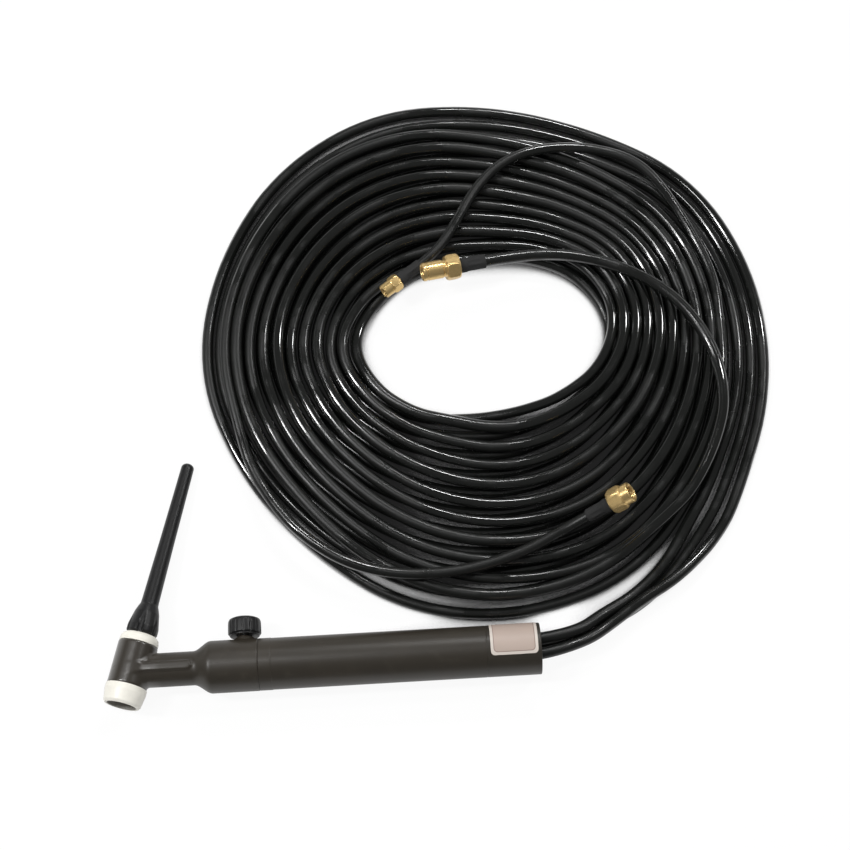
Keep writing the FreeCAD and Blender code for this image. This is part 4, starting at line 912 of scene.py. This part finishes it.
class Winding:
    """One hose's loops: in along the lower layer, up at the innermost turn, and out along the upper one."""

    def __init__(self, radius, first_step, end_turn, looseness):
        self.radius = radius
        self.looseness = looseness
        self.reversal = (COIL_STEPS - first_step) * 120.0
        self.length = 360.0 * LOOPS + end_turn - COIL_START

    def point(self, swept, pull=1.0):
        after = swept - self.reversal
        step = COIL_STEPS - abs(after) / 120.0
        share = step / COIL_STEPS
        turn = math.radians(COIL_START + swept)
        lower, upper, inner = (ring_radius(turn, *ring) for ring in (LOWER_RING, UPPER_RING, INNER_RING))
        climb = min(1.0, max(0.0, after / CLIMB + 0.5))
        climb = climb * climb * (3 - 2 * climb)
        outer = lower + (upper - lower) * climb
        settled = min(1.0, swept / SETTLING, (self.length - swept) / SETTLING)
        stray = self.looseness * (0.6 * math.sin(2 * turn + 0.34 * step + 2.2 * climb)
                                  + 0.4 * math.sin(3 * turn - 0.38 * step + 4.0 * climb))
        swelling = swell(turn, OUTER_SWELLS) * (1 - share) + swell(turn, INNER_SWELLS) * share
        reach = (outer * (1 - share) + inner * share + settled * (swelling + stray)) * pull
        return COIL_MIDDLE + Vector((reach * math.cos(turn), reach * math.sin(turn),
                                     self.radius + LAYER_RISE * climb))

    def way(self, swept):
        return (self.point(swept + 0.1) - self.point(swept - 0.1)).normalized()


def hose_route(facts, radius, looseness):
    """Control points of a hose's line, in metres, from its barb to its far end."""
    winding = Winding(radius, facts["first_step"], facts["end_turn"], looseness)
    points = []
    for along, twist in IN_HANDLE:
        angle = math.radians(facts["turn"] + twist)
        points.append(TORCH @ (Vector((BARB_START + along, TUBE_CIRCLE * math.cos(angle),
                                       TUBE_CIRCLE * math.sin(angle))) * MM))
    start, end = 0, winding.length
    count = round(end / 360.0 * POINTS_PER_TURN)
    outside = [*facts["lead"], winding.point(start) - winding.way(start) * LEAD_JOIN, winding.point(start)]
    outside += [winding.point(end * step / count, PULL_OUT) for step in range(1, count)]
    outside += [winding.point(end), winding.point(end) + winding.way(end) * TAIL_JOIN, *facts["tail"]]
    return points + [floor_point(place) for place in outside]


def end_frame(facts):
    """Frame whose Z axis leaves a hose's far end."""
    last, before = floor_point(facts["tail"][-1]), floor_point(facts["tail"][-2])
    way = (last - before).normalized()
    return Matrix.Translation(last) @ Vector((0, 0, 1)).rotation_difference(way).to_matrix().to_4x4()


def make_sleeve(name, radius, place):
    """The crimped black sleeve over a hose's end."""
    outer = radius + FERRULE_WALL
    rim, inside = outer + 0.3, outer + 0.04
    sleeve = turned(name + "_sleeve", [
        (radius, -FERRULE_LENGTH), (outer - 0.1, -FERRULE_LENGTH, 0.2), (outer, -FERRULE_LENGTH + 0.8, 0.2),
        *((outer, height) for height in (-10.4, -9.6, -8.0, -6.0, -4.2, -3.2, -2.0)),
        (rim, -0.8, 0.4), (rim, 3.0, 0.25), (inside, 3.0), (inside, -FERRULE_GAP), (radius, -FERRULE_GAP)],
        place, bpy.data.materials["hose_sleeves"], steps_around=160, flute_count=8.0,
        flutes=dict(circle=outer + 3.6, radius=4.0, start=-10.6, end=-2.4, ease=0.8))
    return ride(sleeve, "torch", "hose_sleeves", name + "_end_ferrule")


def make_nipple(name, radius, neck, thread, place, brass):
    """The barbed nipple with the flange that its nut pulls on."""
    outer = radius + FERRULE_WALL
    barb = radius - 1.5
    bore = barb - 0.8
    flange = thread - HEAD_PLAY
    head_start = NUT_START + NUT_WALL + HEAD_PLAY
    head_end = head_start + FLANGE_LENGTH
    ribs = []
    for rib in range(4):
        base = -BARB_LENGTH + 3.4 * rib
        ribs += [(barb - 0.25, base, 0.05), (barb, base + 2.6, 0.1), (barb - 0.25, base + 2.9, 0.05)]
    nipple = turned(name + "_nipple_brass", [
        (bore, -BARB_LENGTH), *ribs, (barb, 0), (outer, 0, 0.25), (outer, COLLAR_LENGTH, 0.25),
        (neck, COLLAR_LENGTH, 0.15), (neck, head_start), (flange, head_start, 0.15), (flange, head_end, 0.2),
        (barb - 0.4, head_end + NIPPLE_END, 0.2), (bore, head_end + NIPPLE_END)],
        place, brass, steps_around=72)
    return ride(nipple, "torch", "brass_fittings", name + "_nipple")


def make_nut(name, neck, place, brass, corner, hexagon, barrel, length, thread):
    """The loose nut: a chamfered hexagon and a barrel, which carries grooves on a long nut."""
    flat = corner * math.cos(math.radians(30))
    middle = flat + (corner - flat) * 0.5
    rise = min(corner * 0.22, hexagon * 0.3)
    hole = neck + 0.12
    relief = thread + 0.4
    thread_start = NUT_WALL + 2 * HEAD_PLAY + FLANGE_LENGTH + NIPPLE_END
    rows = thread_rows(thread, thread_start + 0.4, length - 0.5, NUT_PITCH)
    band = [(barrel, hexagon + 1.2)]
    if length - hexagon > 9:
        band = [(barrel - 0.5, hexagon + 0.5, 0.3), (barrel - 0.5, hexagon + 1.8, 0.3),
                (barrel, hexagon + 2.3, 0.2), (barrel, hexagon + 7), (barrel, length - 3.4, 0.2),
                (barrel - 0.35, length - 3.1, 0.1), (barrel - 0.35, length - 2.5, 0.1),
                (barrel, length - 2.2, 0.2)]
    nut = turned(name + "_nut_brass", [
        (hole, 0), (flat - 0.1, 0, 0.25), (middle, rise * 0.45), (corner, rise), (corner, hexagon - rise),
        (middle, hexagon - rise * 0.45), (flat - 0.1, hexagon, 0.2), (barrel, hexagon, 0.15), *band,
        (barrel, length - 0.6, 0.2), (barrel - 0.5, length, 0.15), (thread + 0.35, length, 0.1),
        *rows[::-1], (thread, thread_start), (relief, thread_start), (relief, NUT_WALL), (hole, NUT_WALL)],
        place @ Matrix.Translation((0, 0, NUT_START * MM)), brass, steps_around=192,
        flat_distance=flat * MM, sharp_angle=math.radians(32),
        thread=dict(radius=thread, depth=0.32, pitch=NUT_PITCH, start=thread_start + 0.4, end=length - 0.5))
    return ride(nut, name + "_nut", "brass_fittings", name + "_nut")


def make_fitting(name, facts, radius, colours):
    """Crimped ferrule, barbed nipple and loose nut of one hose."""
    place = end_frame(facts)
    neck = radius - 0.4
    brass = brass_finish(name + "_brass", colours.brass, place)
    return [make_sleeve(name, radius, place),
            make_nipple(name, radius, neck, facts["nut"]["thread"], place, brass),
            make_nut(name, neck, place, brass, **facts["nut"])]


def make_hose(name, facts, radius, looseness, material):
    """The hose as one smooth line with its own thickness."""
    points = hose_route(facts, radius / MM, looseness)
    curve = bpy.data.curves.new(name + "_hose", "CURVE")
    curve.dimensions = "3D"
    line = curve.splines.new("NURBS")
    line.points.add(len(points) - 1)
    for point, place in zip(line.points, points):
        point.co = (*place, 1.0)
    line.order_u = 3
    line.use_endpoint_u = True
    line.resolution_u = curve.resolution_u = STEPS_PER_POINT
    curve.bevel_depth = radius
    curve.bevel_resolution = 7
    curve.use_fill_caps = True
    hose = link(name + "_hose", curve, material)
    ride(hose, "torch", "hose_rubber",
         name + "_hose_lead", name + "_hose_coil", name + "_hose_tail")


def make_hoses(sizes, colours):
    material = hose_finish(colours)
    sleeve_finish()
    for name, facts in HOSES.items():
        radius = getattr(sizes, name + "_hose_radius")
        fittings = make_fitting(name, facts, radius / MM, colours)
        make_hose(name, facts, radius, sizes.coil_looseness / MM, material)


def finish_inner_parts():
    """Metal and rubber for the CAD nodes that show as they are."""
    finishes = {
        "brass_parts": bpy.data.materials["brass_parts"],
        "rubber_seals": seal_finish(),
        "steel_stem": steel_finish("turned_steel"),
        "copper_tubes": brass_finish("drawn_copper", (0.72, 0.38, 0.24), HANDLE, 0.3),
        "steel_ferrules": steel_finish("crimped_steel", (0.60, 0.59, 0.56)),
    }
    # Near-black brass on the valve tower under the knob: painted shade where the knob shades it, which also
    # dims its glints.
    tower = brass_finish("dull_brass", (0.075, 0.055, 0.038), VALVE, 0.55, 0.5)
    for part in frame["record"]["subparts"]:
        node, slot = part["node"], part["material_slot"]
        if slot in finishes:
            materials = frame["nodes"][node].data.materials
            materials.clear()
            materials.append(tower if node == "valve_body" else finishes[slot])


# Stage, in metres and watts

PHOTO_SIDE, FOCAL_PIXELS, SENSOR = 850, 2000, 36.0
CAMERA_ELEVATION, CAMERA_AZIMUTH = math.radians(74.0), math.radians(-3.31)
CAMERA_DISTANCE = 1.2058
CAMERA_AIM = Vector((0.17758, 0.14191, 0.0))
LAMPS = (
    ("left_key", (-0.80, 0.10, 1.15), (0.0, 0.10, 0.0), (0.10, 0.22), 7.2),
    ("rear_key", (0.30, 1.10, 1.10), (0.06, 0.12, 0.0), (0.32, 0.08), 5.2),
    ("right_key", (0.95, 0.55, 1.15), (0.12, 0.10, 0.0), (0.11, 0.16), 4.5),
    ("top_key", (-0.38, 0.22, 1.45), (-0.05, 0.05, 0.0), (0.14, 0.34), 3.6),
)
WORLD_LIGHT, MIRRORED_SKY, MIRRORED_WALL = 0.36, 0.11, 0.6
FLOOR_HALF, FLOOR_GLOW = 3.0, 1.03
# Reach of the floor's painted shade round the coil, its soft edge, and how far the occlusion looks.
COIL_SHADE, SHADE_EDGE, SLIT_REACH = 0.188, 0.01, 0.015


def make_stage():
    scene = bpy.context.scene
    scene.view_settings.view_transform = "Standard"
    right_x, right_y = math.cos(CAMERA_AZIMUTH), math.sin(CAMERA_AZIMUTH)
    reach = math.cos(CAMERA_ELEVATION)
    right = Vector((right_x, right_y, 0))
    back = Vector((right_y * reach, -right_x * reach, math.sin(CAMERA_ELEVATION)))
    lens = bpy.data.cameras.new("camera")
    lens.sensor_width = SENSOR
    lens.lens = SENSOR * FOCAL_PIXELS / PHOTO_SIDE
    lens.clip_start, lens.clip_end = 0.05, 20.0
    camera = link("camera", lens)
    camera.location = TORCH_PLACE + CAMERA_AIM + back * CAMERA_DISTANCE
    camera.rotation_mode = "QUATERNION"
    camera.rotation_quaternion = Matrix((right, back.cross(right), back)).transposed().to_quaternion()
    scene.camera = camera

    for name, place, aim, size, power in LAMPS:
        lamp = bpy.data.lights.new(name, "AREA")
        lamp.shape = "RECTANGLE"
        lamp.size, lamp.size_y = size
        lamp.energy = power
        holder = link(name, lamp)
        holder.location = place
        holder.rotation_mode = "QUATERNION"
        holder.rotation_quaternion = (Vector(place) - Vector(aim)).to_track_quat("Z", "Y")

    scene.world = bpy.data.worlds.new("studio")
    scene.world.use_nodes = True
    light_world(Nodes(scene.world.node_tree))

    mesh = bpy.data.meshes.new("floor")
    corners = ((-1, -1), (1, -1), (1, 1), (-1, 1))
    mesh.from_pydata([(x * FLOOR_HALF, y * FLOOR_HALF, 0) for x, y in corners], [], [(0, 1, 2, 3)])
    link("floor", mesh, floor_finish())


def light_world(nodes):
    """Soft dim sky that shows white, and mirrors as a white wall behind the torch."""
    shown, glossy = nodes.rays()
    _, y, z = nodes.parts(nodes.add("ShaderNodeTexCoord", output="Generated"))
    wall = z.ramp(0.35, 0.10) * y.ramp(-0.1, 0.3) * MIRRORED_WALL
    level = WORLD_LIGHT - glossy * (WORLD_LIGHT - MIRRORED_SKY) + glossy * wall
    background = nodes.tree.nodes["Background"]
    nodes.feed(background, "Strength", level + shown * (1.0 - level))
    background.inputs["Color"].default_value = (1, 1, 1, 1)


def floor_finish():
    """White paper floor that keeps a soft shadow, with painted shade in the slits between the hoses and a
    faint painted glow in them.
    """
    material = bpy.data.materials.new("white_floor")
    material.use_nodes = True
    nodes = Nodes(material.node_tree)
    shader = nodes.tree.nodes["Principled BSDF"]
    shader.inputs["Roughness"].default_value = 0.9
    shader.inputs["Specular IOR Level"].default_value = 0.0
    shown, glossy = nodes.rays()
    x, y, _ = nodes.parts(nodes.add("ShaderNodeTexCoord", output="Object"))
    coil = TORCH_PLACE + COIL_MIDDLE * MM
    near_coil = distance(x - coil.x, y - coil.y).ramp(COIL_SHADE, COIL_SHADE - SHADE_EDGE)
    sky = nodes.add("ShaderNodeAmbientOcclusion", {"samples": 8}, {"Distance": SLIT_REACH}, output="AO")
    # Painted shade: within the coil, where hoses hem the floor in, its colour and its white glow both go
    # dark.
    outside_painted_shade = 1.0 - near_coil * (1.0 - sky.ramp(0.42, 0.62))
    nodes.feed(shader, "Base Color", nodes.mixed(outside_painted_shade, (0.02, 0.02, 0.02), (0.8, 0.8, 0.8)))
    # The 0.01 is a faint painted glow that keeps the shaded slits from going pure black.
    share = shown.most(glossy * 0.6) * (0.01 + 0.89 * outside_painted_shade)
    glow = nodes.add("ShaderNodeEmission", None, {"Color": (1, 1, 1, 1), "Strength": FLOOR_GLOW})
    both = nodes.add("ShaderNodeMixShader", None, {0: share, 1: Value(nodes, shader.outputs[0]), 2: glow})
    nodes.feed(nodes.tree.nodes["Material Output"], "Surface", both)
    return material


# Operators, in the order in which they run


class TORCH_OT_stage(Operator):
    """Sets up the camera, the lights and the white floor."""

    bl_idname = "torch.stage"
    bl_label = "Stage"

    def execute(self, context):
        make_stage()
        return {"FINISHED"}


class TORCH_OT_hoses(Operator):
    """Lays the three hoses with their brass ends."""

    bl_idname = "torch.hoses"
    bl_label = "Hoses and Fittings"

    def execute(self, context):
        make_hoses(context.scene.torch_sizes, context.scene.torch_colours)
        return {"FINISHED"}


class TORCH_OT_moulding(Operator):
    """Moulds the barrel, the neck and the valve housing in one piece."""

    bl_idname = "torch.moulding"
    bl_label = "Moulded Body"

    def execute(self, context):
        make_moulding(context.scene.torch_sizes, context.scene.torch_colours)
        return {"FINISHED"}


class TORCH_OT_handle(Operator):
    """Adds the tubular handle and its bare label."""

    bl_idname = "torch.handle"
    bl_label = "Handle and Label"

    def execute(self, context):
        make_handle(context.scene.torch_sizes)
        make_label(context.scene.torch_sizes, context.scene.torch_colours)
        return {"FINISHED"}


class TORCH_OT_head(Operator):
    """Adds the ivory rings and the brass core of the head."""

    bl_idname = "torch.head"
    bl_label = "Rings and Core"

    def execute(self, context):
        make_rings(context.scene.torch_sizes, context.scene.torch_colours)
        make_core(context.scene.torch_colours)
        return {"FINISHED"}


class TORCH_OT_back_cap(Operator):
    """Adds the long back cap."""

    bl_idname = "torch.back_cap"
    bl_label = "Back Cap"

    def execute(self, context):
        make_back_cap(context.scene.torch_sizes, context.scene.torch_colours)
        return {"FINISHED"}


class TORCH_OT_knob(Operator):
    """Adds the fluted valve knob."""

    bl_idname = "torch.knob"
    bl_label = "Valve Knob"

    def execute(self, context):
        make_knob(context.scene.torch_sizes, context.scene.torch_colours)
        return {"FINISHED"}


class TORCH_OT_inner_parts(Operator):
    """Gives the parts inside the torch their metal and rubber finishes."""

    bl_idname = "torch.inner_parts"
    bl_label = "Inner Parts"

    def execute(self, context):
        finish_inner_parts()
        return {"FINISHED"}


STEPS = (TORCH_OT_stage, TORCH_OT_hoses, TORCH_OT_moulding, TORCH_OT_handle, TORCH_OT_head,
         TORCH_OT_back_cap, TORCH_OT_knob, TORCH_OT_inner_parts)


class TORCH_PT_sidebar(Panel):
    """Lists the torch's sizes, its colours and its steps."""

    bl_idname = "TORCH_PT_sidebar"
    bl_label = "Welding Torch"
    bl_space_type = "VIEW_3D"
    bl_region_type = "UI"
    bl_category = "Torch"

    def draw(self, context):
        for group in (context.scene.torch_sizes, context.scene.torch_colours):
            column = self.layout.column(align=True)
            for name in group.__annotations__:
                column.prop(group, name)
        for step in STEPS:
            self.layout.operator(step.bl_idname)


CLASSES = (TorchSizes, TorchColours, *STEPS, TORCH_PT_sidebar)


def register():
    for item in CLASSES:
        bpy.utils.register_class(item)
    bpy.types.Scene.torch_sizes = PointerProperty(type=TorchSizes)
    bpy.types.Scene.torch_colours = PointerProperty(type=TorchColours)


def unregister():
    del bpy.types.Scene.torch_sizes
    del bpy.types.Scene.torch_colours
    for item in reversed(CLASSES):
        bpy.utils.unregister_class(item)


def main():
    register()
    bpy.ops.torch.stage()
    bpy.ops.torch.hoses()
    bpy.ops.torch.moulding()
    bpy.ops.torch.handle()
    bpy.ops.torch.head()
    bpy.ops.torch.back_cap()
    bpy.ops.torch.knob()
    bpy.ops.torch.inner_parts()


if __name__ == "__main__":
    main()
